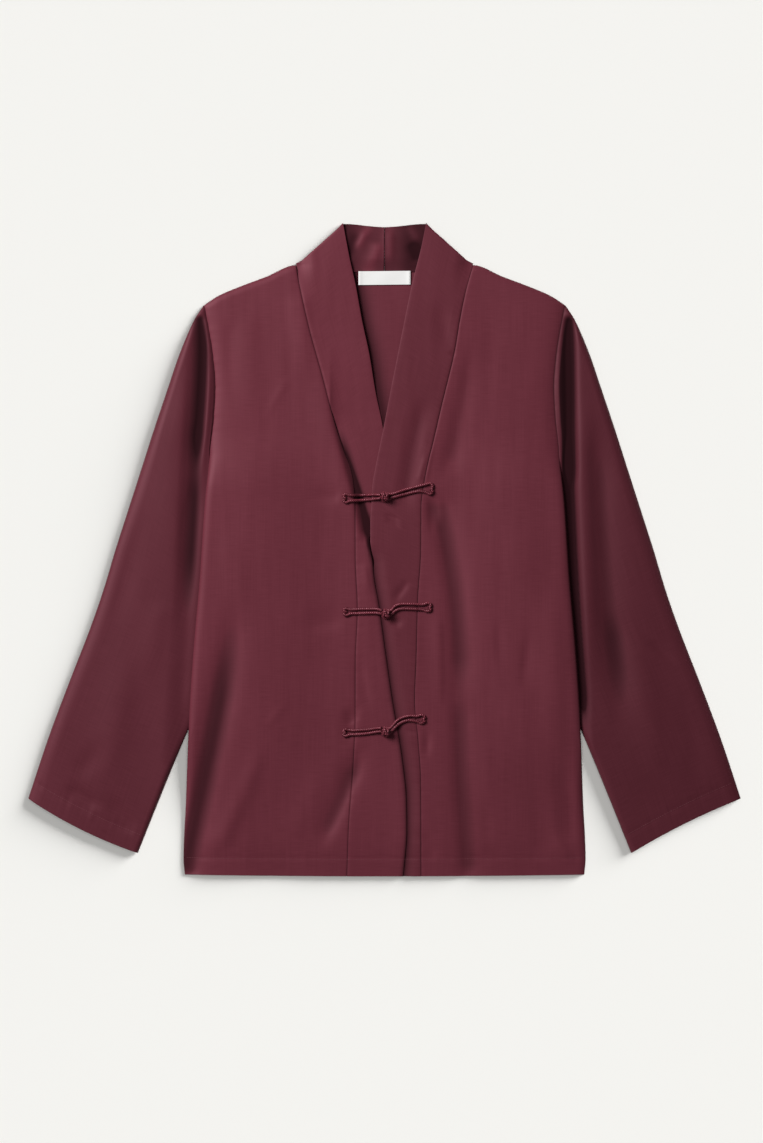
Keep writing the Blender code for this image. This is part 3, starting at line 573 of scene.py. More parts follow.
# The sleeves: flattened tubes whose inner parts are tucked below the body
sleeves = {
    "over": (200, 0.7, 2.4, 14), "under": (200, 0.9, 7.0, 22), "up": (570, 1.0, 2.4, 22),
    "foldedEdge": 1.7, "flat": 3.4, "air": 4.2, "deepest": -2.2, "outerRoll": 15, "tuckRoll": 6,
    "length": 560, "cuffTurn": 17,
    # how far the cuff bows, the run and the lift of the cloth beside the body, the depth and the darkness of
    # the armhole seam, and the painted shadow beside the body
    "right": {"bow": 4.5, "run": 30, "lift": 1.5, "seam": 1.6, "seamDark": 0.5, "shade": 0.0},
    "left": {"bow": -3.0, "run": 15, "lift": 0.0, "seam": 0.7, "seamDark": 1.9, "shade": 1.0},
}
rightSleeveFolds = (
    (-203, 630, -204, 545, -213.3, 441, 6, 12, -6.6, 0.05, 0.27),   # the deep trough beside the body
    (-208.8, 514, -216, 365, -225, 260, 8, 10, -5.2, 0.29, 0.5),
    (-222, 590, -231, 450, -241, 285, 8, 17, 1.7, 0.3, 0.4),
    (-240, 540, -250, 440, -256, 320, 16, 20, 1, 0.3, 0.4),
    (-246, 310, -258, 265, -275, 190, 14, 14, 1, 0.3, 0.5),
    (-270, 420, -290, 330, -312, 240, 14, 14, -1, 0.4, 0.5),
    (-286, 270, -298, 180, -318, 90, 16, 20, 1.5, 0.4, 0.4),
    (-318, 70, -335, 86, -362, 100, 8, 8, -1.5, 0.4, 0.3),
    (-284, 44, -296, 68, -318, 92, 8, 9, -1.3, 0.3, 0.4),
    (-310, 160, -330, 128, -352, 108, 12, 12, -1.1, 0.5, 0.4),
)
leftSleeveFolds = (
    (206, 630, 208.5, 530, 207.5, 430, 6, 11, -7.5, 0.05, 0.15),   # the deep trough beside the body
    (206.5, 500, 212, 345, 223, 168, 6, 11, -7, 0.2, 0.1),
    (222, 545, 226.5, 380, 232, 180, 11, 11, 2.2, 0.25, 0.3),
    (236, 523, 247, 340, 268, 120, 14, 12, -2.7, 0.25, 0.3),
    (252, 300, 265, 235, 276, 160, 14, 12, -1.6, 0.3, 0.5),
    (262, 470, 278, 360, 290, 220, 20, 18, 1, 0.3, 0.4),
    (289.5, 268.8, 310, 252, 331, 235.2, 4, 6, -1.1, 0.4, 0.5),
    (283, 270, 296, 180, 318, 90, 16, 14, 1.6, 0.4, 0.4),
    (330, 210, 345, 150, 352, 90, 16, 14, -1.2, 0.5, 0.3),
)


def sleevePlace(share, along, bow):
    # a place at a share of the sleeve's width and of its length, with the width there
    x0, h0, x1, h1 = (follow(sleeveEdges, along, 0, k) for k in (1, 2, 3, 4))
    seamHeight = shoulderHigh + (blouse["underarm"] - shoulderHigh) * share
    seamX = follow(sideLine, seamHeight) + 0.2
    straightX = sleeveEdges[0][1] + (sleeveEdges[0][3] - sleeveEdges[0][1]) * share
    bulge = bow * 4 * share * (1 - share) * along ** 8
    x = x0 + (x1 - x0) * share + (seamX - straightX) * np.clip(1 - 5 * along, 0, 1) ** 2 + bulge * 0.45
    return x, h0 + (h1 - h0) * share - bulge * 0.90, np.hypot(x0 - x1, h0 - h1)


def sleeveShape(side, own, folds, seed):
    def shape(ring, along):
        # ring runs 0 to 1 over the top from the outer edge to the inner one, and 1 to 2 back below
        below = ring > 1
        share = np.where(below, 2 - ring, ring)
        x, height, width = sleevePlace(share, along, own["bow"])
        fromOuter, fromInner = share * width, (1 - share) * width
        rounded = quarterRound(fromOuter, sleeves["outerRoll"]) * quarterRound(fromInner, sleeves["tuckRoll"])
        fromBody = x - follow(sideLine, height)
        beside = ease((height - 385) / 110)
        clear = ease((fromBody + 1) / (own["run"] * (1 - beside) + 12 * beside))
        pressed = own["lift"] * np.exp(-((fromBody - 1) / 7) ** 2)
        pressed = pressed * ease((440 - height) / 60) * ease((height - 150) / 60)
        length = along * sleeves["length"]
        fromStitches = sleeves["length"] - length - sleeves["cuffTurn"]
        stitched = -0.3 * np.exp(-(fromStitches / 2.2) ** 2)
        air = sleeves["air"] * (1 - 0.35 * ease((length - 480) / 80)) + 0.30 * softWaves(x, height, seed)
        fold = creases(folds, side * x, height)
        air = clear * (air + fold + stitched)
        top = sleeves["flat"] + restOn(air, sleeves["deepest"]) + pressed
        top = top + 0.13 * clear * puckers(fromOuter, np.abs(fromStitches), seed + 2, 7)
        upper = sleeves["foldedEdge"] + (top - sleeves["foldedEdge"]) * rounded
        tucked = np.clip(1 - length / 1.5, 0, 1)        # the sleeve's edge runs in below the front's
        x = x - 1.3 * tucked * np.where(below, 0, ease(fromOuter / 3) * ease(fromInner / 3))
        sunk = own["seam"] * np.exp(-length / 1.1) - 0.10 * puckers(height, length, seed + 1)
        lower = sleeves["foldedEdge"] * (1 - rounded)
        spots = toRow(side * x, height, np.where(below, lower, upper - sunk * rounded))
        girth = np.where(below, 2 - share, share) * width
        # painted shadow on the sleeve beside the body's raised edge, added to the painted crease shade and
        # the seam line
        sewnAbove = ease((height - 440) / 60)
        past = np.maximum(fromBody - 7 - 6 * sewnAbove, 0)
        shade = ease((fromBody + 1 - 4 * sewnAbove) / 4) * np.exp(-past / 4)
        shade = shade * ease((625 - height) / 60) * ease((height - 158) / 40) * own["shade"]
        seamsAndPaintedShade = paintedCreaseShade(fold) * ease(fromBody / 6) + seamShade(length) * own["seamDark"] + shade
        return spots, np.stack([girth, length], -1), seamsAndPaintedShade
    return shape


over, under = spread(*sleeves["over"]), spread(*sleeves["under"])
sleeveGrid = np.concatenate([over, under[1:] + 1]), spread(*sleeves["up"])
rightSleeveShape = sleeveShape(-1, sleeves["right"], rightSleeveFolds, 61)
leftSleeveShape = sleeveShape(1, sleeves["left"], leftSleeveFolds, 71)
sleeveRight = layCloth("sleeveRight", *sleeveGrid, rightSleeveShape, blouse["wall"], -1.0, True)
sleeveLeft = layCloth("sleeveLeft", *sleeveGrid, leftSleeveShape, blouse["wall"], -1.0, True)


def clothTop(x, height, pieces):
    # height of the uppermost cloth at a place
    start = (x * 0.001, (height - blouse["hemLine"]) * 0.001, 0.1)
    hits = [piece.ray_cast(start, (0, 0, -1)) for piece in pieces]
    return max([0.0] + [spot.z * 1000 for found, spot, _, _ in hits if found])


def meshPiece(name, verts, faces, corners):
    # verts in millimetres from the garment's middle, corners the cloth coordinates of each face corner
    mesh = bpy.data.meshes.new(name)
    mesh.from_pydata([tuple(v) for v in np.asarray(verts) * 0.001], [], faces)
    layer = mesh.uv_layers.new(name="cloth")
    layer.data.foreach_set("uv", (np.asarray(corners) * 0.001).ravel())
    piece = bpy.data.objects.new(name, mesh)
    scene.collection.objects.link(piece)
    alone(piece)
    bpy.ops.object.shade_smooth_by_angle(angle=math.radians(60))
    return piece


def smoothRoute(points, closed, step):
    # a curve through the points, read again at even steps
    points = np.asarray(points, float)
    count = len(points)
    fine = []
    for i in range(count if closed else count - 1):
        near = [(i + k) % count if closed else min(max(i + k, 0), count - 1) for k in (-1, 0, 1, 2)]
        a, b, c, d = (points[k] for k in near)
        for t in np.arange(0, 1, 0.05):
            fine.append(0.5 * (2 * b + (c - a) * t + (2 * a - 5 * b + 4 * c - d) * t * t
                               + (3 * b - a - 3 * c + d) * t ** 3))
    fine.append(points[0] if closed else points[-1])
    fine = np.array(fine)
    far = np.concatenate([[0], np.cumsum(np.linalg.norm(np.diff(fine, axis=0), axis=1))])
    stops = np.linspace(0, far[-1], max(int(far[-1] / step), 4) + 1)
    even = np.stack([np.interp(stops, far, fine[:, k]) for k in range(fine.shape[1])], -1)
    return even[:-1] if closed else even


def twistedCord(route, closed, radius, strands, lay, around, ups=None):
    # cord laid up from strands that turn round each other, as lists of points, faces and corners
    count = len(route)
    if closed:
        tangent = np.roll(route, -1, 0) - np.roll(route, 1, 0)
        gaps = np.linalg.norm(np.roll(route, -1, 0) - route, axis=1)
    else:
        tangent = np.gradient(route, axis=0)
        gaps = np.linalg.norm(np.diff(route, axis=0), axis=1)
    tangent = tangent / np.linalg.norm(tangent, axis=1, keepdims=True)
    ups = np.tile([0.0, 0.0, 1.0], (count, 1)) if ups is None else ups
    side = np.cross(ups, tangent)
    side = side / np.linalg.norm(side, axis=1, keepdims=True)
    lift = np.cross(tangent, side)
    along = np.concatenate([[0], np.cumsum(gaps)])
    if closed:
        turns = max(round(along[-1] / lay * strands), 1) / strands
        lay = along[-1] / turns
    angle = np.linspace(0, 2 * math.pi, around + 1)
    turned = 2 * math.pi * along[:count] / lay
    share = 2 * math.pi / strands
    if strands > 1:
        local = (angle[None, :-1] - turned[:, None] + share / 2) % share - share / 2
        offset, thick = 0.50 * radius, 0.52 * radius
        reach = offset * np.cos(local) + np.sqrt(np.maximum(thick ** 2 - (offset * np.sin(local)) ** 2, 0.01))
    else:
        reach = np.full((count, around), radius)
    spots = route[:, None] + reach[..., None] * (np.cos(angle[:-1])[None, :, None] * side[:, None]
                                                + np.sin(angle[:-1])[None, :, None] * lift[:, None])
    faces, corners = [], []
    for i in range(count if closed else count - 1):
        for j in range(around):
            k, m = (i + 1) % count, (j + 1) % around
            faces.append((i * around + j, i * around + m, k * around + m, k * around + j))
            for row, col in ((i, j), (i, j + 1), (i + 1, j + 1), (i + 1, j)):
                lean = 0 if strands == 1 else 2 * math.pi * along[row] / lay
                corners.append(((angle[col] - lean) * radius, along[row]))
    if not closed:
        faces.append(tuple(range(around))[::-1])
        faces.append(tuple((count - 1) * around + j for j in range(around)))
        corners += [(0, 0)] * (2 * around)
    return spots.reshape(-1, 3), faces, corners


def gather(parts):
    # several pieces of cord as one mesh
    verts, faces, corners, start = [], [], [], 0
    for spots, sides, places in parts:
        verts.append(spots)
        faces += [tuple(v + start for v in face) for face in sides]
        corners += places
        start += len(spots)
    return np.concatenate(verts), faces, corners


# Stitches: short threads that dip into the cloth at both ends
stitches = {"pitch": 2.7, "length": 1.9, "thread": 0.16, "stand": 0.07, "dip": -0.14}


def stitchLine(path, pieces):
    made = []
    stand, dip = stitches["stand"], stitches["dip"]
    route = smoothRoute(path, False, stitches["pitch"])
    for a, b in zip(route[:-1], route[1:]):
        way = (b - a) / np.linalg.norm(b - a)
        points = []
        for share, rise in ((-0.5, dip), (-0.3, stand), (0.3, stand), (0.5, dip)):
            spot = (a + b) / 2 + way * share * stitches["length"]
            points.append([spot[0], spot[1] - blouse["hemLine"], clothTop(spot[0], spot[1], pieces) + rise])
        made.append(twistedCord(np.array(points), False, stitches["thread"], 1, 1, 6))
    return made


fronts = (frontRight, frontLeft, bandRight, bandLeft)
hemPath = [(x, blouse["hemTurn"] - blouse["hemBow"] * (1 - (x / shoulderWide) ** 2))
           for x in np.linspace(-222, 222, 23)]


def cuffStitches(name, side, sleeve, bow):
    along = 1 - sleeves["cuffTurn"] / sleeves["length"]
    places = [sleevePlace(share, along, bow) for share in np.linspace(0.03, 0.97, 12)]
    return meshPiece(name, *gather(stitchLine([(side * x, height) for x, height, _ in places], (sleeve,))))


hemStitches = meshPiece("hemStitches", *gather(stitchLine(hemPath, fronts)))
cuffStitchesRight = cuffStitches("cuffStitchesRight", -1, sleeveRight, sleeves["right"]["bow"])
cuffStitchesLeft = cuffStitches("cuffStitchesLeft", 1, sleeveLeft, sleeves["left"]["bow"])
print("stitched")


# The label: a bare tape with both ends folded under
labelTape = {
    "size": (58.4, 15.4), "steps": ((0.4, 1.5, 6), (0.4, 0.9, 3)), "height": 668.9, "wall": 0.35,
    "level": 2.05, "stitched": (27.8, 6.7),
}


def labelShape(u, v):
    wide, high = labelTape["size"]
    x = (u - 0.5) * wide
    height = labelTape["height"] + (v - 0.5) * high + 0.25 * np.sin(x / 21)
    fromEnd = wide / 2 - np.abs(x)
    rise = 0.35 * np.exp(-((fromEnd - 1.8) / 2.0) ** 2) + 0.35 * (1 - (2 * v - 1) ** 2) * np.cos(x / 12) ** 2
    level = labelTape["level"] + rise - 0.25 * np.exp(-fromEnd / 0.5)
    return toRow(x, height, level), np.stack([x, height], -1), 0.0


labelGrid = [spread(run, *steps) for run, steps in zip(labelTape["size"], labelTape["steps"])]
label = layCloth("labelTape", *labelGrid, labelShape, labelTape["wall"])
labelEnds = []
endX, endUp = labelTape["stitched"]
for x in (-endX, endX):
    labelEnds += stitchLine([(x, labelTape["height"] + up) for up in (-endUp, 0.0, endUp)], (label,))
labelStitches = meshPiece("labelStitches", *gather(labelEnds))


# The frogs: two cords side by side, turned back at the tail, a button knot, and a loop round its stem.
# Places run along each cord from the knot out to the tail and back, and apart widens or narrows the
# gap between its two legs.
frogCord = {"radius": 1.75, "strands": 3, "lay": 6.4, "step": 0.62, "around": 15, "reach": 3.0,
            "stemRise": 3.4, "loopRise": 0.15, "loopRound": 4.5}
frogs = {
    1: {
        "knot": (0.3, 423.4), "apart": 1.06,
        "knotCord": (
            (-4.6, 425.6), (-11.8, 425.9), (-27.4, 425.2), (-38.5, 425), (-43, 426.2), (-46, 424.4),
            (-44.8, 421.9), (-46, 419.3), (-43, 417.3), (-38.5, 418.8), (-27.4, 419.6), (-11.8, 421),
            (-4.6, 422),
        ),
        "loopCord": (
            (8.6, 426.6), (23, 431.2), (37.5, 435), (46, 437.1), (51.2, 438.2), (53.6, 435.4),
            (52.6, 432.2), (53.4, 429.2), (50.6, 426.9), (46, 428.9), (37.5, 429.9), (23, 426.6),
            (8.6, 422.6),
        ),
    },
    2: {
        "knot": (1.7, 292.5), "apart": 0.9,
        "knotCord": (
            (-3.2, 296.7), (-9.5, 298.2), (-27.4, 298.1), (-38, 297.6), (-42.5, 298.9), (-45.5, 297.2),
            (-44.3, 294.7), (-45.5, 292), (-42.5, 290.4), (-38, 292.3), (-27.4, 292.7), (-9.5, 293.2),
            (-3.2, 292.4),
        ),
        "loopCord": (
            (7.8, 297), (11.2, 301), (16, 303.2), (23, 303.8), (34, 303.5), (43, 303.4), (48.6, 305),
            (51.6, 302.6), (50.4, 299.6), (51.4, 296.4), (47.6, 295), (42, 297), (32, 297.6), (20, 298),
            (13, 296.4), (8.6, 292.6),
        ),
    },
    3: {
        "knot": (1.4, 160.6), "apart": 0.9,
        "knotCord": (
            (-3.4, 165.6), (-9.5, 164.9), (-18, 163.4), (-28, 162.7), (-38.5, 162.5), (-43.2, 163.8),
            (-46, 161.9), (-44.8, 159.5), (-46, 156.9), (-43.2, 155.3), (-38.5, 157), (-28, 157.5),
            (-18, 158.6), (-9.5, 160.2), (-3.4, 161),
        ),
        "loopCord": (
            (6.8, 165), (13.2, 172.3), (19.6, 176.6), (28, 178.6), (36, 178.3), (41.4, 179.9),
            (44.8, 177.6), (43.6, 174.8), (44.4, 172), (41, 169.7), (36, 171.9), (28, 173.2), (20.4, 171.6),
            (14.2, 167.6), (9, 162.6),
        ),
    },
}
buttonKnot = {"radius": 3.75, "weave": 0.80, "cord": 1.30, "strands": 3, "lay": 4.4, "around": 12,
              "rounds": 3, "swings": 4, "tilt": 58, "above": 7.0}


def cordOnCloth(plan, closed, rises):
    # lays a route on the cloth; the cord bridges what is narrower than its own stiffness
    route = smoothRoute([(x, h, r) for (x, h), r in zip(plan, rises)], closed, frogCord["step"])
    level = np.array([clothTop(x, h, fronts) for x, h, _ in route])
    wide = int(frogCord["reach"] / frogCord["step"])
    ends = "wrap" if closed else "edge"
    padded = np.pad(level, 2 * wide, ends)
    highest = np.array([padded[i:i + 2 * wide + 1].max() for i in range(len(padded) - 2 * wide)])
    level = np.array([highest[i:i + 2 * wide + 1].mean() for i in range(len(level))])
    route = route - [0, blouse["hemLine"], 0]
    route[:, 2] += level + frogCord["radius"]
    return route


def cordPiece(name, plan, closed, rises):
    twist = (frogCord[key] for key in ("radius", "strands", "lay", "around"))
    parts = [twistedCord(cordOnCloth(plan, closed, rises), closed, *twist)]
    far = [p for p in plan if abs(p[0] - plan[0][0]) > 0.90 * max(abs(q[0] - plan[0][0]) for q in plan)]
    middle = np.mean(far, axis=0)
    for along, across in ((-1.6, 0.0), (1.2, 0.0), (-0.2, 3.4), (-0.2, -3.4)):     # sewn down at the tail
        spot = middle + np.array([along, across])
        points = []
        for beside, rise in ((-2.0, -3.2), (-1.4, -0.6), (0.0, 0.25), (1.4, -0.6), (2.0, -3.2)):
            top = clothTop(spot[0], spot[1] + beside, fronts) + 2 * frogCord["radius"]
            points.append([spot[0], spot[1] + beside - blouse["hemLine"], top + rise])
        parts.append(twistedCord(smoothRoute(points, False, 0.5), False, 0.22, 1, 1, 6))
    return meshPiece(name, *gather(parts))


def buttonPiece(name, place):
    # a button knot woven from one cord that goes round and round and over and under itself, on a plain core
    t = np.linspace(0, 2 * math.pi, 261)[:-1]
    about, swings = buttonKnot["rounds"] * t, buttonKnot["swings"]
    tilt = math.radians(buttonKnot["tilt"]) * np.cos(swings * t)
    reach = buttonKnot["radius"] + buttonKnot["weave"] * np.sin(2 * swings * t)
    away = np.stack([np.cos(tilt) * np.cos(about), np.cos(tilt) * np.sin(about), np.sin(tilt)], -1)
    centre = np.array([place[0], place[1] - blouse["hemLine"],
                       clothTop(place[0], place[1], fronts) + buttonKnot["above"]])
    twist = (buttonKnot[key] for key in ("cord", "strands", "lay", "around"))
    woven = twistedCord(centre + away * reach[:, None], True, *twist, away)
    bpy.ops.object.select_all(action="DESELECT")
    inside = (buttonKnot["radius"] - 0.5) * 0.001
    bpy.ops.mesh.primitive_uv_sphere_add(segments=20, ring_count=12, radius=inside)
    core = bpy.context.object
    spots = np.array([v.co[:] for v in core.data.vertices]) * 1000 + centre
    faces = [tuple(f.vertices) for f in core.data.polygons]
    corners = [(spots[v][0], spots[v][1]) for f in faces for v in f]
    bpy.data.objects.remove(core, do_unlink=True)
    return meshPiece(name, *gather([woven, (spots, faces, corners)]))


def setApart(plan, apart):
    # moves the two legs of a cord nearer to each other or further off, about the line midway between them
    pairs = list(zip(plan, plan[::-1]))
    return [(x, (h + k) / 2 + (h - k) / 2 * apart) for (x, h), (_, k) in pairs]


frogPieces = []
for number, frog in frogs.items():
    knotX, knotH = frog["knot"]
    plan = setApart(frog["knotCord"], frog["apart"])
    rises = [frogCord["stemRise"] * float(1 - ease((knotX - x - 5) / 9)) for x, _ in plan]
    knotCord = cordPiece("frog%dKnotCord" % number, plan, False, rises)
    away = frogCord["loopRound"]
    turns = np.radians(np.linspace(300, 60, 7))
    ring = [(knotX + away * math.cos(a), knotH + away * math.sin(a)) for a in turns]
    loopPlan = ring + setApart(frog["loopCord"], frog["apart"])
    loopCord = cordPiece("frog%dLoopCord" % number, loopPlan, True, [frogCord["loopRise"]] * len(loopPlan))
    knot = buttonPiece("frog%dKnot" % number, frog["knot"])
    for piece, node in ((knotCord, "knot_cord"), (loopCord, "loop_cord"), (knot, "knot")):
        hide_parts("frog_%d_%s" % (number, node))
        frogPieces.append(piece)
print("frogs tied")


class Wire:
    # one socket of a material, so that shader sums are written as sums
    def __init__(self, graph, socket):
        self.graph, self.socket = graph, socket

    def sum(self, operation, first, second):
        return self.graph.node("ShaderNodeMath", {"operation": operation}, {0: first, 1: second})

    def __add__(self, other):
        return self.sum("ADD", self, other)

    def __sub__(self, other):
        return self.sum("SUBTRACT", self, other)

    def __rsub__(self, other):
        return self.sum("SUBTRACT", other, self)

    def __mul__(self, other):
        return self.sum("MULTIPLY", self, other)

    __radd__ = __add__
    __rmul__ = __mul__


class Finish:
    # a material on the shader of that name, with the sockets that are the same all over set at once
    def __init__(self, name, **sockets):
        self.material = bpy.data.materials.new(name)
        self.material.use_nodes = True
        self.tree = self.material.node_tree
        self.shader = self.tree.nodes["Principled BSDF"]
        for key, value in sockets.items():
            self.shader.inputs[key.replace("_", " ")].default_value = value

    def node(self, kind, settings, sockets, output=0):
        made = self.tree.nodes.new(kind)
        for key, value in settings.items():
            setattr(made, key, value)
        for key, value in sockets.items():
            if isinstance(value, Wire):
                self.tree.links.new(value.socket, made.inputs[key])
            else:
                made.inputs[key].default_value = value
        return Wire(self, made.outputs[output])

    def clothPlace(self, stretch, shift=(0, 0, 0)):
        place = self.node("ShaderNodeUVMap", {"uv_map": "cloth"}, {})
        return self.node("ShaderNodeMapping", {}, {"Vector": place, "Scale": stretch, "Location": shift})

    def noise(self, stretch, shift=(0, 0, 0), detail=2.0):
        place = self.clothPlace(stretch, shift)
        return self.node("ShaderNodeTexNoise", {}, {"Vector": place, "Scale": 1.0, "Detail": detail})

    def bands(self, direction, sockets):
        settings = {"wave_type": "BANDS", "bands_direction": direction}
        return self.node("ShaderNodeTexWave", settings, {"Vector": self.clothPlace((1, 1, 1)), **sockets})

    def blend(self, factor, first, second):
        return self.node("ShaderNodeMix", {"data_type": "RGBA"}, {0: factor, 6: first, 7: second}, 2)

    def cover(self, colour, roughness, relief, strength, distance):
        raised = {"Height": relief, "Strength": strength, "Distance": distance}
        normal = self.node("ShaderNodeBump", {}, raised)
        for name, wire in (("Base Color", colour), ("Roughness", roughness), ("Normal", normal)):
            self.tree.links.new(wire.socket, self.shader.inputs[name])
        return self.material


def dress(piece, material):
    piece.data.materials.clear()
    piece.data.materials.append(material)


# the darkest colour is the painted shade of creases, recesses and shadows, and of the seam lines; its share
# says how far it is mixed in
satin = {
    "deep": (0.094, 0.015, 0.0235), "lit": (0.182, 0.0375, 0.056), "seamsAndPaintedShade": (0.010, 0.0014, 0.0024, 1),
    "paintedShadeShare": 0.92, "roughness": 0.50, "specular": 0.26, "tint": (1.0, 0.50, 0.58, 1),
    "sheen": 0.07, "sheenTint": (1.0, 0.55, 0.62, 1),
}


def satinFinish(name, shift, shade):
    made = Finish(name, Specular_IOR_Level=satin["specular"], Specular_Tint=satin["tint"],
                  Sheen_Weight=satin["sheen"], Sheen_Roughness=0.45, Sheen_Tint=satin["sheenTint"])
    slubs = made.noise((55, 1300, 1), shift, 1.5)       # weft threads, thick and thin
    streaks = made.noise((850, 16, 1), shift)           # warp threads
    clouds = made.noise((14, 9, 1), shift, 3.0)
    threads = made.bands("DIAGONAL", {"Scale": 420.0, "Distortion": 1.2, "Detail": 1.0})
    tone = 0.5 + (slubs - 0.5) * 0.45 + (streaks - 0.5) * 0.35 + (clouds - 0.5) * 0.35
    deep, lit = (tuple(part * shade for part in satin[key]) + (1,) for key in ("deep", "lit"))
    # painted shade: little light comes back out of a deep crease, so the colour is darkened there, in
    # recesses, in shadows and along the seams, and the satin is rougher there
    seamsAndPaintedShade = made.node("ShaderNodeAttribute", {"attribute_name": "seamsAndPaintedShade"}, {}, 2)
    colour = made.blend(seamsAndPaintedShade * satin["paintedShadeShare"], made.blend(tone, deep, lit), satin["seamsAndPaintedShade"])
    roughness = satin["roughness"] + (slubs - 0.5) * 0.10 + (clouds - 0.5) * 0.06 + seamsAndPaintedShade * 0.4
    return made.cover(colour, roughness, slubs * 0.5 + streaks * 0.3 + threads * 0.12, 0.35, 0.00006)


satinPieces = {
    # painted shade: each piece gets its own darker copy of the satin, for how much light reaches it, as on
    # the sleeves and inside
    "backPanel": (back, (0.3, 0.7, 0), 0.91), "frontRight": (frontRight, (1.9, 0.2, 0), 0.94),
    "frontLeft": (frontLeft, (4.1, 2.6, 0), 0.96), "bandRight": (bandRight, (6.7, 1.1, 0), 0.97),
    "bandLeft": (bandLeft, (8.3, 5.2, 0), 0.82), "sleeveRight": (sleeveRight, (2.2, 9.4, 0), 0.69),
    "sleeveLeft": (sleeveLeft, (7.5, 3.8, 0), 0.66),
}
for name, (piece, shift, shade) in satinPieces.items():
    dress(piece, satinFinish(name + "Satin", shift, shade))
print("satin laid out")

cordColours = {"deep": (0.032, 0.004, 0.007, 1), "lit": (0.235, 0.040, 0.060, 1)}
tapeColours = {"deep": (0.70, 0.69, 0.68, 1), "lit": (0.90, 0.895, 0.88, 1)}
threadColours = {"deep": (0.09, 0.014, 0.022, 1), "lit": (0.21, 0.044, 0.064, 1)}
whiteColours = {"deep": (0.62, 0.61, 0.60, 1), "lit": (0.86, 0.85, 0.84, 1)}


def cordFinish(name, colours):
    made = Finish(name, Specular_IOR_Level=0.6, Specular_Tint=satin["tint"], Sheen_Weight=0.06,
                  Sheen_Roughness=0.4, Sheen_Tint=satin["sheenTint"])
    fibres = made.noise((2600, 160, 1))
    clouds = made.noise((120, 90, 1))
    # painted highlight and shade, three strands to a turn: pale on their crowns and dark in the grooves
    # between them
    turn = 2 * math.pi * frogCord["radius"] * 0.001 / frogCord["strands"]
    crowns = made.bands("X", {"Scale": math.pi / 10 / turn, "Phase Offset": math.pi / 2})
    tone = crowns * 0.75 + (fibres - 0.5) * 0.7 + (clouds - 0.5) * 0.4 + 0.1
    return made.cover(made.blend(tone, colours["deep"], colours["lit"]), 0.30 + (fibres - 0.5) * 0.2,
                      fibres, 0.5, 0.0001)


def threadFinish(name, colours):
    made = Finish(name, Specular_IOR_Level=0.4, Sheen_Weight=0.15)
    fibres = made.noise((3000, 700, 1))
    return made.cover(made.blend(fibres, colours["deep"], colours["lit"]), 0.45 + (fibres - 0.5) * 0.2,
                      fibres, 0.4, 0.00005)


def tapeFinish(name, colours):
    # a woven tape: fine rib across, and a finer warp along
    made = Finish(name, Specular_IOR_Level=0.35, Sheen_Weight=0.2, Sheen_Roughness=0.5)
    rib = made.bands("Y", {"Scale": 500.0, "Distortion": 0.6, "Detail": 1.0})
    warp = made.bands("X", {"Scale": 800.0, "Distortion": 0.8, "Detail": 1.0})
    slubs = made.noise((120, 2200, 1))
    tone = 0.35 + slubs * 0.4 + rib * 0.18 + warp * 0.10
    return made.cover(made.blend(tone, colours["deep"], colours["lit"]), 0.55 + (slubs - 0.5) * 0.15,
                      rib * 0.6 + warp * 0.3 + slubs * 0.4, 0.45, 0.00008)


corded, sewing = cordFinish("frogCord", cordColours), threadFinish("sewingThread", threadColours)
tape, whiteThread = tapeFinish("labelTape", tapeColours), threadFinish("labelThread", whiteColours)
stitchPieces = [hemStitches, cuffStitchesRight, cuffStitchesLeft]
dressed = (frogPieces, corded), (stitchPieces, sewing), ([label], tape), ([labelStitches], whiteThread)
for pieces, finish in dressed:
    for piece in pieces:
        dress(piece, finish)
print("cords, thread and label finished")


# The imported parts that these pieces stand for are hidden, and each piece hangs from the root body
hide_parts("back")
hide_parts("front_right")
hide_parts("front_left")
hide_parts("band_right")
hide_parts("band_left")
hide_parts("sleeve_right")
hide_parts("sleeve_left")
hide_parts("label")
for piece in [back, frontRight, frontLeft, bandRight, bandLeft, sleeveRight, sleeveLeft] + stitchPieces:
    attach(piece, "root")
for piece in frogPieces:
    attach(piece, "root")
for piece in (label, labelStitches):
    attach(piece, "root")


# A pale floor, soft studio light and a camera straight above. The key light shapes the cloth from the
# upper left. Two suns light the floor alone, one low from the upper right, so that the soft shadow
# falls to the left and below.
studio = {
    "floor": (0.90, 0.893, 0.862, 1), "ambient": 0.14,
    "key": {"spot": (-1.85, 1.30, 2.30), "size": 1.4, "power": 121.0},
    "wash": {"azimuth": 33, "elevation": 13, "angle": 30, "strength": 7.55},
    "fill": {"azimuth": 0, "elevation": 90, "angle": 60, "strength": 1.03},
    "frameHeight": 1.2802, "lens": 85.0, "sensor": 36.0, "aim": (-0.0034, -0.0244, 0.004),
}


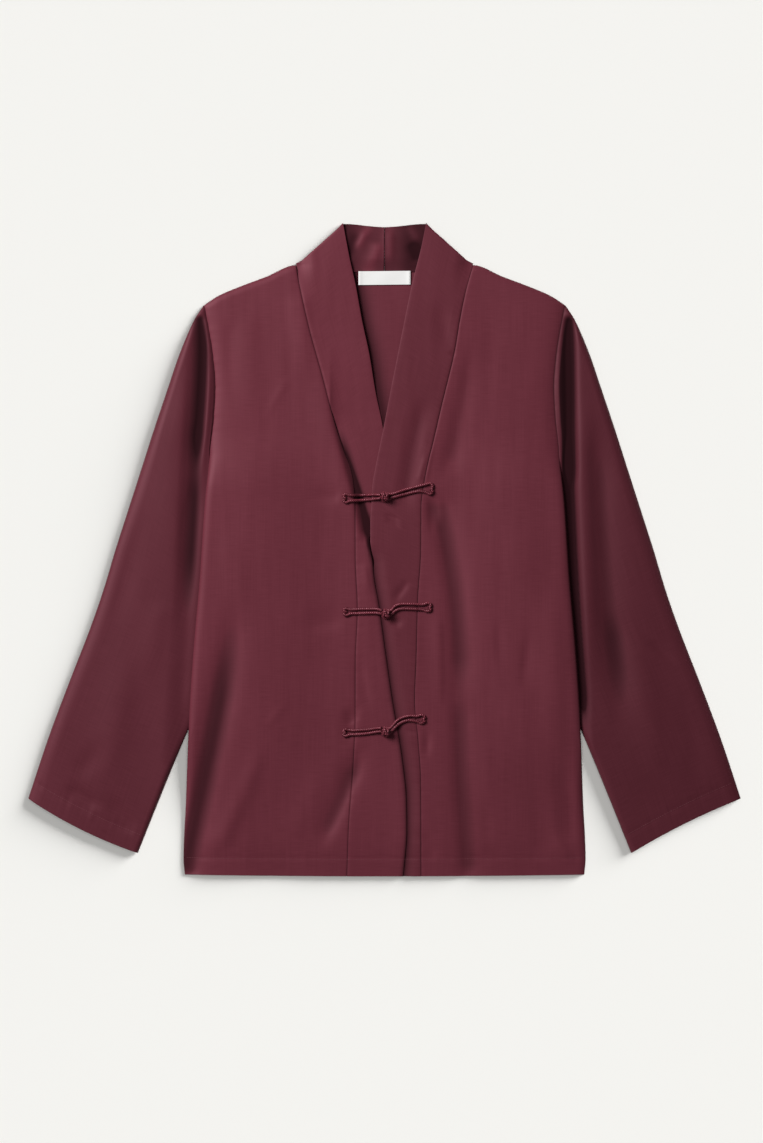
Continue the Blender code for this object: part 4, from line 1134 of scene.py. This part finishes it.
def newLight(name, kind, strength):
    light = bpy.data.lights.new(name, kind)
    light.energy = strength
    holder = bpy.data.objects.new(name, light)
    scene.collection.objects.link(holder)
    return holder


def softSun(name, azimuth, elevation, angle, strength):
    holder = newLight(name, "SUN", strength)
    holder.data.angle = math.radians(angle)
    holder.rotation_euler = (math.radians(90 - elevation), 0, math.radians(azimuth + 90))
    return holder


def softBox(name, spot, size, power):
    # a square light that faces the middle of the garment
    holder = newLight(name, "AREA", power)
    holder.data.size = size
    holder.location = spot
    tilt = math.atan2(math.hypot(spot[0], spot[1]), spot[2])
    holder.rotation_euler = (tilt, 0, math.atan2(spot[1], spot[0]) + math.pi / 2)
    return holder


def lightOnly(holder, pieces, name):
    # the light reaches these pieces and no others
    group = bpy.data.collections.new(name)
    for piece in pieces:
        group.objects.link(piece)
    holder.light_linking.receiver_collection = group


world = bpy.data.worlds.new("studio")
world.use_nodes = True
sky = world.node_tree.nodes["Background"].inputs
sky["Color"].default_value = (1, 1, 1, 1)
sky["Strength"].default_value = studio["ambient"]
scene.world = world

bpy.ops.object.select_all(action="DESELECT")
bpy.ops.mesh.primitive_plane_add(size=14, location=(0, 0, -0.0002))
floor = bpy.context.object
floor.name = "floor"
paper = Finish("floorPaper", Base_Color=studio["floor"], Roughness=0.85, Specular_IOR_Level=0.1)
floor.data.materials.append(paper.material)
key = softBox("keyLight", **studio["key"])
lightOnly(softSun("floorWash", **studio["wash"]), [floor], "floorOnly")
lightOnly(softSun("floorFill", **studio["fill"]), [floor], "floorFillOnly")
lightOnly(key, [piece for piece in scene.objects if piece.type == "MESH" and piece != floor], "blouseOnly")

lens = bpy.data.cameras.new("camera")
lens.lens = studio["lens"]
lens.sensor_width = studio["sensor"]
camera = bpy.data.objects.new("camera", lens)
scene.collection.objects.link(camera)
aimX, aimY, aimZ = studio["aim"]
camera.location = (aimX, aimY, aimZ + studio["frameHeight"] * studio["lens"] / studio["sensor"])
scene.camera = camera
scene.view_settings.view_transform = "Standard"
print("studio set")
